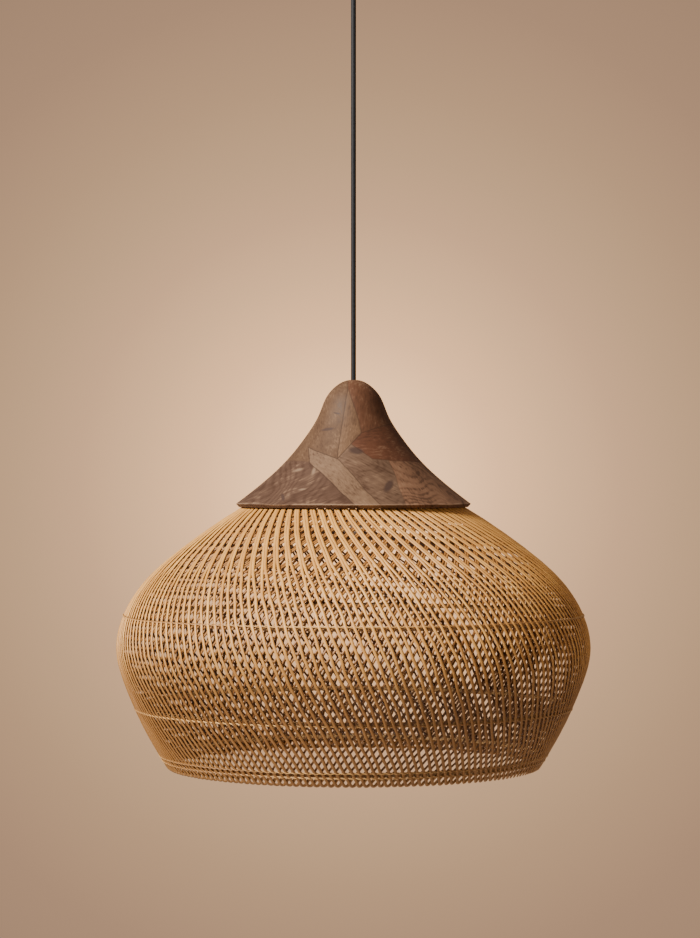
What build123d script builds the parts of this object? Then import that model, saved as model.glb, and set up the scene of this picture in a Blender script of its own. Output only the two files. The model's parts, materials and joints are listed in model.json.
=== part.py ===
"""Pendant ceiling light: a turned wooden bell cap on a black flex, over a wide two-layer cane shade.

The frame is that of the ceiling: z = 0 is the ceiling plane, +Z points up and the light hangs below,
its axis on Z. All sizes are in millimetres.
"""

import os
from math import cos, degrees, radians, sin, sqrt

from build123d import *

os.makedirs("parts", exist_ok=True)

# ---- Driving dimensions ------------------------------------------------------------------------
# clearances
fit = 0.05  # threads and pressed fits, on the radius
slip = 0.15  # pieces that are slid together
gap = 0.3  # curved faces side by side
edge_break = 0.6  # small chamfers on metal edges

# ceiling rose
rose_r = 50.0  # outer radius of the steel cup
rose_h = 45.0
rose_wall = 1.5
rose_edge = 6.0  # rounding of the cup's lower edge
strap_width = 18.0
strap_thick = 2.0
strap_slot_pitch = 60.0  # between the two ceiling screws
strap_slot_width = 4.6
strap_slot_length = 14.0
ear_drop = 16.0  # how far the strap's ends are bent down
side_screw_r = 2.0
side_screw_head_r = 4.5
side_screw_head = 5.0
side_screw_reach = 7.0  # shank length inside the cup
side_screw_drop = 10.0  # below the ceiling

# terminal block in the rose
block_length = 34.0
block_depth = 18.0
block_height = 13.0
pole_pitch = 10.0
pole_r = 1.7  # bore of each brass sleeve
pole_wall = 1.0
pole_screw_r = 1.6
pole_screw_length = 4.6
block_screw_r = 1.5
block_screw_head_r = 2.8
block_screw_head = 1.8
block_corner = 1.5
wire_reach = block_depth / 2 + 7.0  # how far in front of the block the wires rise
wire_loop = 9.0
wire_grip = 3.0  # length of wire inside a sleeve
pole_slot = 0.6  # screwdriver slots
pole_slot_depth = 0.8
pole_screw_sunk = 0.5

# flex and its grip at the ceiling
flex_r = 3.25
flex_free = 510.0  # free length between the grip's mouth and the cap
core_r = 1.0  # one insulated wire
core_ring = 1.2 * core_r  # how far off the axis the wires leave the flex
core_bend = 3.0
core_rise = 4.0  # straight run of a wire out of the flex
grip_thread_r = flex_r + 1.75
grip_collar_af = 2 * grip_thread_r + 8.0  # across the flats
grip_collar_h = 6.0
grip_neck_r = grip_thread_r + 2.2
grip_neck_h = 12.0
grip_nut_r = grip_neck_r + 2.2
grip_nut_h = 24.0
grip_nut_bulge = 1.6 * grip_nut_r  # radius of the dome
grip_way_r = flex_r + 1.55
grip_mouth_r = flex_r + 3.35
grip_lip = 0.8
grip_stub_up = 9.0  # thread standing up inside the rose
grip_seal_h = 4.5
locknut_af = 2 * grip_thread_r + 5.0
locknut_h = 3.0
pivot_up = 3.0  # the flex starts to bend this far inside the mouth
neck_ball_r = 1.6
flex_in_cap = 4.0

# wooden cap
cap_h = 157.0  # apex above the rim
cap_rim_r = 149.0
cap_shares = [  # its outline, as shares of the rim's radius and of the height
    (0.151, 0.949),
    (0.235, 0.854),
    (0.292, 0.723),
    (0.393, 0.561),
    (0.557, 0.363),
    (0.772, 0.170),
    (1.0, 0.0),
]
cap_top_run = (1, 0)
cap_rim_run = (0.8, -0.6)
cap_foot_r = cap_rim_r - 3.5
cap_foot_drop = 4.0  # underside below the rim's edge
cap_foot_width = 13.5
cap_wall = 14.0
cap_hollow_stops = (0.86, 0.74, 0.62, 0.5)  # where the hollow follows the outline
cap_crown = 45.0  # solid wood between the apex and the hollow
cap_room_r = 28.0
cap_pocket_r = 11.0
cap_pocket_h = 25.0

# hanging hardware inside the cap
plate_r = 25.0
plate_thick = 2.0
plate_screw_pcd = 38.0
plate_screw_count = 3
wood_screw_r = 1.75
wood_screw_head_r = 3.6
wood_screw_length = 16.0
nipple_bore_r = flex_r + 0.45
nipple_r = nipple_bore_r + 1.3
nipple_up = 12.0
nipple_down = 13.0
nipple_nut_af = 2 * nipple_r + 4.0
nipple_nut_h = 3.0
clamp_r = nipple_r + 2.5
clamp_h = 15.0
clamp_grip_h = 8.0  # the part of the clamp above the nipple
grub_r = 1.5
grub_proud = 1.0
grub_slot_width = 0.6
grub_slot_depth = 1.0

# lampholder
thread_r = 13.4  # bore of the threaded brass sleeve
thread_wall = 0.5
thread_h = 19.0
insulator_r = thread_r + 3.45
insulator_top_h = 12.0
insulator_up = 3.0  # how far the insulator stands up into the spigot
holder_body_r = insulator_r + 2.9
holder_body_h = 32.0
holder_spigot_h = 5.0
holder_lip = 2.0
holder_lip_r = thread_r + 0.8
holder_r = holder_body_r + 0.55
holder_wall = 1.8
holder_neck_r = nipple_r + 3.0
holder_neck_h = 8.0
holder_cap_h = 29.0
holder_shoulder_in = 4.0  # the slope from the neck to the side
holder_shoulder_drop = 4.0
holder_side_drop = 11.0
holder_shoulder_bend = 3.0
ring_r = holder_body_r + 7.25
ring_h = 5.0
ring_bevel = 0.8
terminal_screw_r = 1.6
terminal_screw_head_r = 3.0
terminal_spacing = 18.0
terminal_screw_head = 1.5
terminal_lift = 2.0  # room for a wire under the screw's head
strand_r = 0.8
strand_bend = 1.5
strand_out = 8.0  # how far in front of the screws a wire comes down
strand_drop = 5.0  # straight run of a wire beside its screw
tongue_thick = 0.6
tongue_width = 6.0
tongue_drop = 2.3
tongue_root = 9.0  # the flat end under the insulator
tongue_back = 5.0  # where it doubles back
tongue_reach = 2.5  # its sprung end, past the axis

# bulb
bulb_r = 30.0
bulb_length = 105.0
bulb_cap_r = thread_r - 0.3
bulb_cap_h = 19.0
bulb_cap_slope = 2.0  # the cap's bevelled end
bulb_insulator_h = 3.5
bulb_tip_r = 4.8
bulb_tip_h = 1.6
bulb_neck_r = bulb_cap_r - 0.5
bulb_neck_run = 3.0  # straight neck below the cap
bulb_swell = (0.9, 1.3)  # how fully the glass rounds out of the neck and into the globe
bulb_glass_wall = 1.0
bulb_cap_wall = 0.4
bulb_neck_in = 8.0  # glass cemented into the screw cap
stem_r = 4.0
stem_flange = 1.2
stem_clear = 2.8  # above the filaments
stem_rod_r = 1.2
filament_r = 0.9
filament_ring = 8.0
filament_length = 34.0
filament_rise = 14.0  # their upper ends, above the widest place of the glass
filament_inset = 1.5  # the carrying wires, in from the ends
filament_wire_r = 0.3
filament_count = 4

# cane shade
shade_r = 300.0  # at its widest
shade_h = 333.0  # from the cap's rim down to the mouth
shade_top_in = 4.0  # the canes start this far inside the cap's foot, and this far under it
shade_top_drop = 0.2
shade_shares = [  # the outline below its start, as shares of the widening and of the height
    (0.290, 0.0906),
    (0.549, 0.1834),
    (0.760, 0.2762),
    (0.946, 0.4161),
    (1.0, 0.5529),
    (0.921, 0.6959),
    (0.7445, 0.8814),
    (0.599, 1.0),
]
shade_top_run = (0.86, -0.51)
shade_foot_run = (-0.5, -0.86)
cane_skin = 1.2  # a layer of canes, spread out to an even skin
cane_depth_outer = 0.4  # each skin's outer face, under the outline
cane_depth_inner = 1.9
hoop_r = 2.6
top_hoop_r = 4.0
top_hoop_stop = 0.012  # how far along the outline it lies
upper_hoop_drop = 141.0  # below the cap's rim
lower_hoop_up = 75.0  # above the mouth
foot_hoop_up = 11.0
binding_r = 0.8
skin_spans = 20  # along the inner skin's profile
# the outer skin is laid in bands, each ending this far along the outline
skin_bands = {"shoulder": 0.22, "upper": 0.42, "belly": 0.6, "lower": 0.8, "foot": 1.0}
band_spans = 6
band_seam = 0.0001
foot_lengths = 8  # the foot band and the hoop behind it are laid in this many lengths
stop_accuracy = 1e-9
spider_ring_r = holder_body_r + 11.25
spider_wire_r = 2.0
spider_arms = 4
spider_ring_thick = 1.6
spider_knee_r = 45.0
spider_knee_drop = 26.0
spider_bend = 10.0
clip_width = 9.0
clip_wall = 2.0
clip_shy = 1.0  # the clip stops this far short of the hoop's top and foot


# ---- Levels worked out from the sizes ------------------------------------------------------------
rose_floor = -rose_h
mouth_z = rose_floor - grip_collar_h - grip_nut_h
pivot_z = mouth_z + pivot_up
apex_z = mouth_z - flex_free
rim_z = apex_z - cap_h
foot_z = rim_z - cap_foot_drop
room_z = apex_z - cap_crown
pocket_z = room_z + cap_pocket_h
plate_z = room_z - plate_thick
nipple_top = room_z + nipple_up
nipple_foot = plate_z - nipple_down
holder_top = plate_z - nipple_nut_h - fit
holder_joint = holder_top - holder_cap_h
holder_mouth = holder_joint - holder_body_h
insulator_top = holder_joint + insulator_up
insulator_floor = insulator_top - insulator_top_h
spider_z = holder_joint - ring_h - fit - spider_ring_thick / 2
tip_z = insulator_floor - tongue_drop - gap
bulb_insulator_z = tip_z - bulb_tip_h
bulb_cap_z = bulb_insulator_z - bulb_insulator_h
bulb_neck_z = bulb_cap_z - bulb_cap_h
bulb_foot = tip_z - bulb_length
inner_rose_r = rose_r - rose_wall
ear_x = sqrt(inner_rose_r**2 - (strap_width / 2) ** 2) - gap
flex_end_z = holder_top - holder_neck_h - 6.0
tail_top = rose_floor + grip_stub_up + 4.0
tail_end = pivot_z + neck_ball_r + fit
flex_start = pivot_z - neck_ball_r - fit
flex_foot = apex_z - flex_in_cap


def keep(part, name):
    """Label a finished piece and write it."""
    part.label = name
    export_step(part, f"parts/{name}.step")


def corner_radius(across_flats):
    """The radius to the corners of a hexagon of this width across its flats."""
    return across_flats / sqrt(3)


def radial(angle):
    """The upright plane through Z at this angle: its x runs outwards and its y runs up."""
    out = (cos(radians(angle)), sin(radians(angle)), 0)
    return Plane(origin=(0, 0, 0), x_dir=out, z_dir=(out[1], -out[0], 0))


def across(point, direction):
    """The plane square to a direction at a point, for the section of a swept wire."""
    return Plane(origin=point, z_dir=direction)


def inset(curve, depth, stops):
    """Points at these stops along a profile curve, moved in by depth, at right angles to it."""
    moved = []
    for stop in stops:
        run = curve % stop
        moved.append((curve @ stop) + Vector(run.Y, -run.X, 0) * depth)
    return moved


# ---- Ceiling rose --------------------------------------------------------------------------------
with BuildPart() as strap:
    with BuildSketch(Plane.XY) as strap_face:
        Rectangle(2 * ear_x, strap_width)
        with GridLocations(strap_slot_pitch, 0, 2, 1):
            SlotOverall(strap_slot_length, strap_slot_width, mode=Mode.SUBTRACT)
    extrude(amount=-strap_thick)
    with BuildSketch(Plane.XY.offset(-strap_thick)) as ears:
        with GridLocations(2 * ear_x - strap_thick, 0, 2, 1):
            Rectangle(strap_thick, strap_width)
    extrude(amount=-ear_drop)
    with BuildSketch(Plane.YZ) as ear_holes:
        with Locations((0, -side_screw_drop)):
            Circle(side_screw_r + fit)
    extrude(amount=rose_r, both=True, mode=Mode.SUBTRACT)
    with BuildSketch(Plane.XY) as block_fixing:
        with GridLocations(pole_pitch, 0, 2, 1):
            Circle(block_screw_r + fit)
    extrude(amount=-strap_thick, mode=Mode.SUBTRACT)
keep(strap.part, "ceiling_strap")

with BuildPart() as rose:
    with BuildSketch(Plane.XY) as rose_face:
        Circle(rose_r)
    extrude(amount=-rose_h)
    fillet(rose.edges().group_by(Axis.Z)[0], rose_edge)
    offset(amount=-rose_wall, openings=rose.faces().sort_by(Axis.Z)[-1])
    with BuildSketch(Plane.XY.offset(rose_floor)) as gland_hole:
        Circle(grip_thread_r + slip)
    extrude(amount=2 * rose_wall, mode=Mode.SUBTRACT)
    with BuildSketch(Plane.YZ) as side_holes:
        with Locations((0, -side_screw_drop)):
            Circle(side_screw_r + slip)
    extrude(amount=rose_r + rose_wall, both=True, mode=Mode.SUBTRACT)
keep(rose.part, "rose_cup")

with BuildPart() as side_screws:
    for side in (1, -1):
        start = Plane(origin=(side * rose_r, 0, -side_screw_drop), z_dir=(side, 0, 0))
        with BuildSketch(start) as screw_head:
            Circle(side_screw_head_r)
        extrude(amount=side_screw_head)
        with BuildSketch(start) as screw_shank:
            Circle(side_screw_r)
        extrude(amount=-side_screw_reach)
    chamfer(side_screws.edges().filter_by(GeomType.CIRCLE).group_by(Axis.X)[-1], edge_break)
    chamfer(side_screws.edges().filter_by(GeomType.CIRCLE).group_by(Axis.X)[0], edge_break)
keep(side_screws.part, "rose_side_screws")

# ---- Terminal block ------------------------------------------------------------------------------
block_top = -strap_thick
block_foot = block_top - block_height
block_mid = block_top - block_height / 2
with BuildPart() as block:
    with BuildSketch(Plane.XY.offset(block_top)) as block_face:
        RectangleRounded(block_length, block_depth, block_corner)
    extrude(amount=-block_height)
    with BuildSketch(Plane.XZ.offset(-block_depth)) as sleeve_ways:
        with Locations((0, block_mid)):
            with GridLocations(pole_pitch, 0, 3, 1):
                Circle(pole_r + pole_wall + fit)
    extrude(amount=2 * block_depth, mode=Mode.SUBTRACT)
    with BuildSketch(Plane.XY.offset(block_foot)) as screw_ways:
        with GridLocations(pole_pitch, block_depth / 2, 3, 2):
            Circle(pole_screw_r + slip)
    extrude(amount=block_height / 2, mode=Mode.SUBTRACT)
    with Locations(Plane(origin=(0, 0, block_foot), z_dir=(0, 0, -1))):
        with GridLocations(pole_pitch, 0, 2, 1):
            CounterBoreHole(block_screw_r + slip, block_screw_head_r + slip, block_screw_head + slip)
keep(block.part, "terminal_block")

with BuildPart() as sleeves:
    with BuildSketch(Plane.XZ.offset(-block_depth / 2 + 1)) as sleeve_faces:
        with Locations((0, block_mid)):
            with GridLocations(pole_pitch, 0, 3, 1):
                Circle(pole_r + pole_wall)
                Circle(pole_r, mode=Mode.SUBTRACT)
    extrude(amount=block_depth - 2)
    with BuildSketch(Plane.XY.offset(block_foot)) as tapped_ways:
        with GridLocations(pole_pitch, block_depth / 2, 3, 2):
            Circle(pole_screw_r + fit)
    extrude(amount=block_height / 2, mode=Mode.SUBTRACT)
keep(sleeves.part, "terminal_sleeves")

with BuildPart() as pole_screws:
    with BuildSketch(Plane.XY.offset(block_foot + pole_screw_sunk)) as pole_screw_faces:
        with GridLocations(pole_pitch, block_depth / 2, 3, 2):
            Circle(pole_screw_r)
    extrude(amount=pole_screw_length)
    with BuildSketch(Plane.XY.offset(block_foot + pole_screw_sunk)) as pole_slots:
        with GridLocations(pole_pitch, block_depth / 2, 3, 2):
            Rectangle(2 * pole_screw_r, pole_slot)
    extrude(amount=pole_slot_depth, mode=Mode.SUBTRACT)
keep(pole_screws.part, "terminal_screws")

with BuildPart() as block_screws:
    with BuildSketch(Plane.XY.offset(block_foot + slip)) as block_screw_heads:
        with GridLocations(pole_pitch, 0, 2, 1):
            Circle(block_screw_head_r)
    extrude(amount=block_screw_head - slip)
    with BuildSketch(Plane.XY.offset(block_foot + block_screw_head)) as block_screw_shanks:
        with GridLocations(pole_pitch, 0, 2, 1):
            Circle(block_screw_r)
    extrude(amount=block_height - block_screw_head + strap_thick)
keep(block_screws.part, "block_screws")

# ---- Flex grip under the rose --------------------------------------------------------------------
collar_foot = rose_floor - grip_collar_h
grip_neck_foot = collar_foot - grip_neck_h
seal_foot = grip_neck_foot - grip_seal_h
with BuildPart() as grip:
    with BuildSketch(Plane.XY.offset(rose_floor)) as collar:
        RegularPolygon(corner_radius(grip_collar_af), 6)
    extrude(amount=-grip_collar_h)
    chamfer(grip.faces().sort_by(Axis.Z)[0].edges(), edge_break)
    with BuildSketch(Plane.XY.offset(rose_floor)) as stub:
        Circle(grip_thread_r)
    extrude(amount=grip_stub_up)
    with BuildSketch(Plane.XY.offset(collar_foot)) as neck_stub:
        Circle(grip_neck_r)
    extrude(amount=-grip_neck_h)
    with BuildSketch(Plane.XY.offset(rose_floor + grip_stub_up)) as flex_way:
        Circle(flex_r + slip)
    extrude(amount=-(grip_stub_up + grip_collar_h + grip_neck_h), mode=Mode.SUBTRACT)
keep(grip.part, "grip_body")

with BuildPart() as locknut:
    with BuildSketch(Plane.XY.offset(rose_floor + rose_wall)) as locknut_face:
        RegularPolygon(corner_radius(locknut_af), 6)
        Circle(grip_thread_r + fit, mode=Mode.SUBTRACT)
    extrude(amount=locknut_h)
keep(locknut.part, "grip_locknut")

with BuildPart() as seal:
    with BuildSketch(Plane.XY.offset(seal_foot)) as seal_face:
        Circle(grip_neck_r)
        Circle(flex_r + fit, mode=Mode.SUBTRACT)
    extrude(amount=grip_seal_h)
keep(seal.part, "grip_seal")

with BuildPart() as grip_nut:
    with BuildSketch(Plane.XZ) as nut_profile:
        with BuildLine() as nut_outline:
            nut_top = collar_foot - slip
            nut_side = Line((grip_nut_r, nut_top), (grip_nut_r, seal_foot))
            nut_lip = (grip_mouth_r + grip_lip, mouth_z)
            RadiusArc(nut_side @ 1, nut_lip, grip_nut_bulge)
            mouth_ring = Line(nut_lip, (grip_mouth_r, mouth_z))
            flare = Line(mouth_ring @ 1, (grip_way_r, pivot_z))
            way = Line(flare @ 1, (grip_way_r, seal_foot - fit))
            shoulder = Line(way @ 1, (grip_neck_r + fit, seal_foot - fit))
            bore = Line(shoulder @ 1, (grip_neck_r + fit, nut_top))
            Line(bore @ 1, nut_side @ 0)
        make_face()
    revolve(axis=Axis.Z)
keep(grip_nut.part, "grip_nut")

# ---- Flex ------------------------------------------------------------------------------------------
with BuildPart() as tail:
    with BuildSketch(Plane.XY.offset(tail_end)) as tail_face:
        Circle(flex_r)
    extrude(amount=tail_top - tail_end)
keep(tail.part, "flex_tail")

with BuildPart() as neck_ball:
    with Locations((0, 0, pivot_z)):
        Sphere(neck_ball_r)
keep(neck_ball.part, "flex_neck")

with BuildPart() as flex:
    with BuildSketch(Plane.XY.offset(flex_start)) as flex_face:
        Circle(flex_r)
    extrude(amount=flex_foot - flex_start)
keep(flex.part, "flex_free")

with BuildPart() as flex_end:
    with BuildSketch(Plane.XY.offset(flex_foot - fit)) as flex_end_face:
        Circle(flex_r)
    extrude(amount=flex_end_z - flex_foot + fit)
keep(flex_end.part, "flex_end")

pole_turns = {-1: 150, 0: 270, 1: 30}  # where around the flex the wire to each pole leaves it
with BuildPart() as rose_wires:
    for pole, turn in pole_turns.items():
        start = (core_ring * cos(radians(turn)), core_ring * sin(radians(turn)))
        wire_x = pole * pole_pitch
        with BuildLine() as rose_wire:
            FilletPolyline(
                (*start, tail_top),
                (*start, tail_top + core_rise),
                (wire_x, -wire_reach, block_mid - wire_loop),
                (wire_x, -wire_reach, block_mid),
                (wire_x, wire_grip - block_depth / 2, block_mid),
                radius=core_bend,
            )
        with BuildSketch(across(rose_wire.line @ 0, rose_wire.line % 0)) as rose_wire_face:
            Circle(core_r)
        sweep(path=rose_wire.line)
keep(rose_wires.part, "rose_wires")

# ---- Wooden cap ------------------------------------------------------------------------------------
cap_bore_r = flex_r + gap
cap_points = [(share_r * cap_rim_r, rim_z + share_h * cap_h) for share_r, share_h in cap_shares]
with BuildPart() as cap:
    with BuildSketch(Plane.XZ) as cap_profile:
        with BuildLine() as cap_outline:
            outside = Spline(
                (cap_bore_r, apex_z),
                *cap_points,
                tangents=[cap_top_run, cap_rim_run],
                tangent_scalars=[1, 1],
            )
            undercut = Line(outside @ 1, (cap_foot_r, foot_z))
            seat = Line(undercut @ 1, (cap_foot_r - cap_foot_width, foot_z))
            inside = inset(outside, cap_wall, cap_hollow_stops)
            hollow = Spline(seat @ 1, *inside, (cap_room_r, room_z))
            ceiling = Line(hollow @ 1, (cap_pocket_r, room_z))
            pocket_side = Line(ceiling @ 1, (cap_pocket_r, pocket_z))
            pocket_top = Line(pocket_side @ 1, (cap_bore_r, pocket_z))
            Line(pocket_top @ 1, outside @ 0)
        make_face()
    revolve(axis=Axis.Z)
    with BuildSketch(Plane.XY.offset(room_z)) as pilot_holes:
        with PolarLocations(plate_screw_pcd / 2, plate_screw_count):
            Circle(wood_screw_r + fit)
    extrude(amount=wood_screw_length, mode=Mode.SUBTRACT)
keep(cap.part, "wooden_cap")

# ---- Hanging hardware in the cap -----------------------------------------------------------------
sink = wood_screw_head_r - wood_screw_r - slip
with BuildPart() as plate:
    with BuildSketch(Plane.XY.offset(plate_z)) as plate_face:
        Circle(plate_r)
        Circle(nipple_r + slip, mode=Mode.SUBTRACT)
        with PolarLocations(plate_screw_pcd / 2, plate_screw_count):
            Circle(wood_screw_r + slip, mode=Mode.SUBTRACT)
    extrude(amount=plate_thick)
    screw_rims = plate.faces().sort_by(Axis.Z)[0].edges().sort_by(SortBy.LENGTH)[:plate_screw_count]
    chamfer(screw_rims, sink)
keep(plate.part, "cap_plate")

with BuildPart() as wood_screws:
    for number in range(plate_screw_count):
        turn = radians(number * 360 / plate_screw_count)
        foot = (plate_screw_pcd / 2 * cos(turn), plate_screw_pcd / 2 * sin(turn), plate_z + slip)
        with BuildSketch(Plane(origin=foot, z_dir=(0, 0, 1))) as shank_face:
            Circle(wood_screw_r)
        extrude(amount=plate_thick + wood_screw_length - 3)
        with BuildSketch(Plane(origin=foot, z_dir=(0, 0, 1))) as head_face:
            Circle(wood_screw_head_r - slip)
        extrude(amount=sink, taper=45)
    points = wood_screws.faces().filter_by(Axis.Z).group_by(Axis.Z)[-1]
    chamfer(points.edges(), 3 * wood_screw_r / 4)
keep(wood_screws.part, "cap_plate_screws")

with BuildPart() as nipple:
    with BuildSketch(Plane.XY.offset(nipple_foot)) as nipple_face:
        Circle(nipple_r)
        Circle(nipple_bore_r, mode=Mode.SUBTRACT)
    extrude(amount=nipple_top - nipple_foot)
keep(nipple.part, "nipple")

with BuildPart() as nipple_nuts:
    for nut_z in (room_z, plate_z - nipple_nut_h):
        with BuildSketch(Plane.XY.offset(nut_z)) as nipple_nut_face:
            RegularPolygon(corner_radius(nipple_nut_af), 6)
            Circle(nipple_r + fit, mode=Mode.SUBTRACT)
        extrude(amount=nipple_nut_h)
keep(nipple_nuts.part, "nipple_nuts")

clamp_foot = nipple_top + clamp_grip_h - clamp_h
grub_z = nipple_top + clamp_grip_h / 2
with BuildPart() as clamp:
    with BuildSketch(Plane.XY.offset(clamp_foot)) as clamp_face:
        Circle(clamp_r)
    extrude(amount=clamp_h)
    chamfer(clamp.edges().group_by(Axis.Z)[-1], 1.0)
    with BuildSketch(Plane.XY.offset(clamp_foot)) as clamp_socket:
        Circle(nipple_r + fit)
    extrude(amount=nipple_top - clamp_foot, mode=Mode.SUBTRACT)
    with BuildSketch(Plane.XY.offset(nipple_top)) as clamp_bore:
        Circle(flex_r + fit)
    extrude(amount=clamp_grip_h, mode=Mode.SUBTRACT)
    with BuildSketch(Plane.YZ) as grub_hole:
        with Locations((0, grub_z)):
            Circle(grub_r + fit)
    extrude(amount=clamp_r + 1, mode=Mode.SUBTRACT)
keep(clamp.part, "flex_clamp")

with BuildPart() as grub:
    with BuildSketch(Plane.YZ.offset(flex_r + fit)) as grub_face:
        with Locations((0, grub_z)):
            Circle(grub_r)
    extrude(amount=clamp_r + grub_proud - flex_r)
    with BuildSketch(Plane.YZ.offset(clamp_r + grub_proud)) as grub_slot:
        with Locations((0, grub_z)):
            Rectangle(3 * grub_r, grub_slot_width)
    extrude(amount=-grub_slot_depth, mode=Mode.SUBTRACT)
keep(grub.part, "clamp_grub_screw")

# ---- Lampholder ------------------------------------------------------------------------------------
shoulder_z = holder_top - holder_neck_h
bend_z = shoulder_z - holder_shoulder_drop
with BuildPart() as holder_cap:
    with BuildSketch(Plane.XZ) as holder_cap_profile:
        with BuildLine() as holder_cap_outline:
            neck_bore = nipple_r + fit
            inner_r = holder_r - holder_wall
            Polyline(
                (neck_bore, holder_top),
                (holder_neck_r, holder_top),
                (holder_neck_r, shoulder_z),
                (holder_r - holder_shoulder_in, bend_z),
                (holder_r, shoulder_z - holder_side_drop),
                (holder_r, holder_joint),
                (inner_r, holder_joint),
                (inner_r, shoulder_z - holder_side_drop),
                (inner_r - holder_shoulder_in, bend_z - holder_wall),
                (neck_bore, shoulder_z - holder_wall),
                close=True,
            )
        make_face()
    revolve(axis=Axis.Z)
    bend_edges = holder_cap.edges().filter_by_position(Axis.Z, bend_z - slip, bend_z + slip)
    fillet(bend_edges, holder_shoulder_bend)
keep(holder_cap.part, "holder_cap")

skirt_bore_r = insulator_r + slip
spigot_r = holder_r - holder_wall - fit
with BuildPart() as holder_body:
    with BuildSketch(Plane.XY.offset(holder_mouth)) as body_face:
        Circle(holder_body_r)
    extrude(amount=holder_body_h)
    with BuildSketch(Plane.XY.offset(holder_joint)) as spigot_face:
        Circle(spigot_r)
    extrude(amount=holder_spigot_h)
    with BuildSketch(Plane.XY.offset(holder_mouth + holder_lip)) as body_bore:
        Circle(skirt_bore_r)
    extrude(amount=holder_body_h + holder_spigot_h, mode=Mode.SUBTRACT)
    with BuildSketch(Plane.XY.offset(holder_mouth)) as lip_bore:
        Circle(holder_lip_r)
    extrude(amount=holder_lip, mode=Mode.SUBTRACT)
    chamfer(holder_body.edges().group_by(Axis.Z)[0].sort_by(SortBy.LENGTH)[-1], 1.0)
keep(holder_body.part, "holder_body")

sleeve_r = thread_r + thread_wall
core_foot = holder_mouth + holder_lip + fit
with BuildPart() as core:
    with BuildSketch(Plane.XY.offset(core_foot)) as core_face:
        Circle(insulator_r)
    extrude(amount=insulator_top - core_foot)
    with BuildSketch(Plane.XY.offset(core_foot)) as core_bore:
        Circle(sleeve_r + fit)
    extrude(amount=insulator_floor - core_foot, mode=Mode.SUBTRACT)
    with BuildSketch(Plane.XY.offset(insulator_top)) as core_screw_holes:
        with GridLocations(terminal_spacing, 0, 2, 1):
            Circle(terminal_screw_r + fit)
    extrude(amount=-insulator_top_h / 2, mode=Mode.SUBTRACT)
keep(core.part, "holder_insulator")

with BuildPart() as thread_sleeve:
    with BuildSketch(Plane.XY.offset(insulator_floor)) as sleeve_face:
        Circle(sleeve_r)
        Circle(thread_r, mode=Mode.SUBTRACT)
    extrude(amount=-thread_h)
keep(thread_sleeve.part, "holder_thread_sleeve")

tongue_z = insulator_floor - fit - tongue_thick / 2
with BuildPart() as tongue:
    with BuildSketch(Plane.XZ.offset(-tongue_width / 2)) as tongue_profile:
        with BuildLine() as tongue_line:
            Polyline(
                (tongue_root, tongue_z),
                (-tongue_back, tongue_z),
                (-tongue_back - tongue_thick, tongue_z - 1.5 * tongue_thick),
                (tongue_reach, insulator_floor - tongue_drop + tongue_thick / 2),
            )
        trace(line_width=tongue_thick)
    extrude(amount=tongue_width)
keep(tongue.part, "holder_contact_tongue")

with BuildPart() as terminal_screws:
    with BuildSketch(Plane.XY.offset(insulator_top - insulator_top_h / 2)) as terminal_shanks:
        with GridLocations(terminal_spacing, 0, 2, 1):
            Circle(terminal_screw_r)
    extrude(amount=insulator_top_h / 2 + terminal_lift)
    with BuildSketch(Plane.XY.offset(insulator_top + terminal_lift)) as terminal_heads:
        with GridLocations(terminal_spacing, 0, 2, 1):
            Circle(terminal_screw_head_r)
    extrude(amount=terminal_screw_head)
keep(terminal_screws.part, "holder_terminal_screws")

strand_z = insulator_top + terminal_lift / 2
with BuildPart() as holder_wires:
    for side in (1, -1):
        strand_x = side * terminal_spacing / 2
        with BuildLine() as holder_wire:
            FilletPolyline(
                (side * core_ring, 0, flex_end_z),
                (side * core_ring, 0, flex_end_z - core_rise),
                (strand_x, -strand_out, strand_z + strand_drop),
                (strand_x, -strand_out, strand_z),
                (strand_x, -terminal_screw_r - slip, strand_z),
                radius=strand_bend,
            )
        with BuildSketch(across(holder_wire.line @ 0, holder_wire.line % 0)) as holder_wire_face:
            Circle(strand_r)
        sweep(path=holder_wire.line)
keep(holder_wires.part, "holder_wires")

with BuildPart() as rings:
    for ring_top in (holder_joint - fit, spider_z - spider_ring_thick / 2):
        with BuildSketch(Plane.XY.offset(ring_top)) as ring_face:
            Circle(ring_r)
            Circle(holder_body_r + fit, mode=Mode.SUBTRACT)
        extrude(amount=-ring_h)
    chamfer(rings.edges().filter_by(GeomType.CIRCLE).sort_by(SortBy.LENGTH)[-4:], ring_bevel)
keep(rings.part, "shade_rings")

# ---- Bulb ------------------------------------------------------------------------------------------
def bulb_outline(wall):
    """Half of the glass's outline, moved in by a wall, from the neck's top down to the crown."""
    centre_z = bulb_foot + bulb_r
    throat = bulb_neck_r - wall
    neck = Line((throat, bulb_neck_z + bulb_neck_in), (throat, bulb_neck_z - bulb_neck_run))
    crown_side = (bulb_r - wall, centre_z)
    side = Spline(neck @ 1, crown_side, tangents=[(0, -1), (0, -1)], tangent_scalars=bulb_swell)
    crown = RadiusArc(side @ 1, (0, bulb_foot + wall), bulb_r - wall)
    axis_line = Line(crown @ 1, (0, bulb_neck_z + bulb_neck_in))
    Line(axis_line @ 1, neck @ 0)


with BuildPart() as glass:
    with BuildSketch(Plane.XZ) as glass_profile:
        with BuildLine() as glass_line:
            bulb_outline(0)
        make_face()
        with BuildLine() as glass_inside:
            bulb_outline(bulb_glass_wall)
        make_face(mode=Mode.SUBTRACT)
    revolve(axis=Axis.Z)
keep(glass.part, "bulb_glass")

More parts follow.
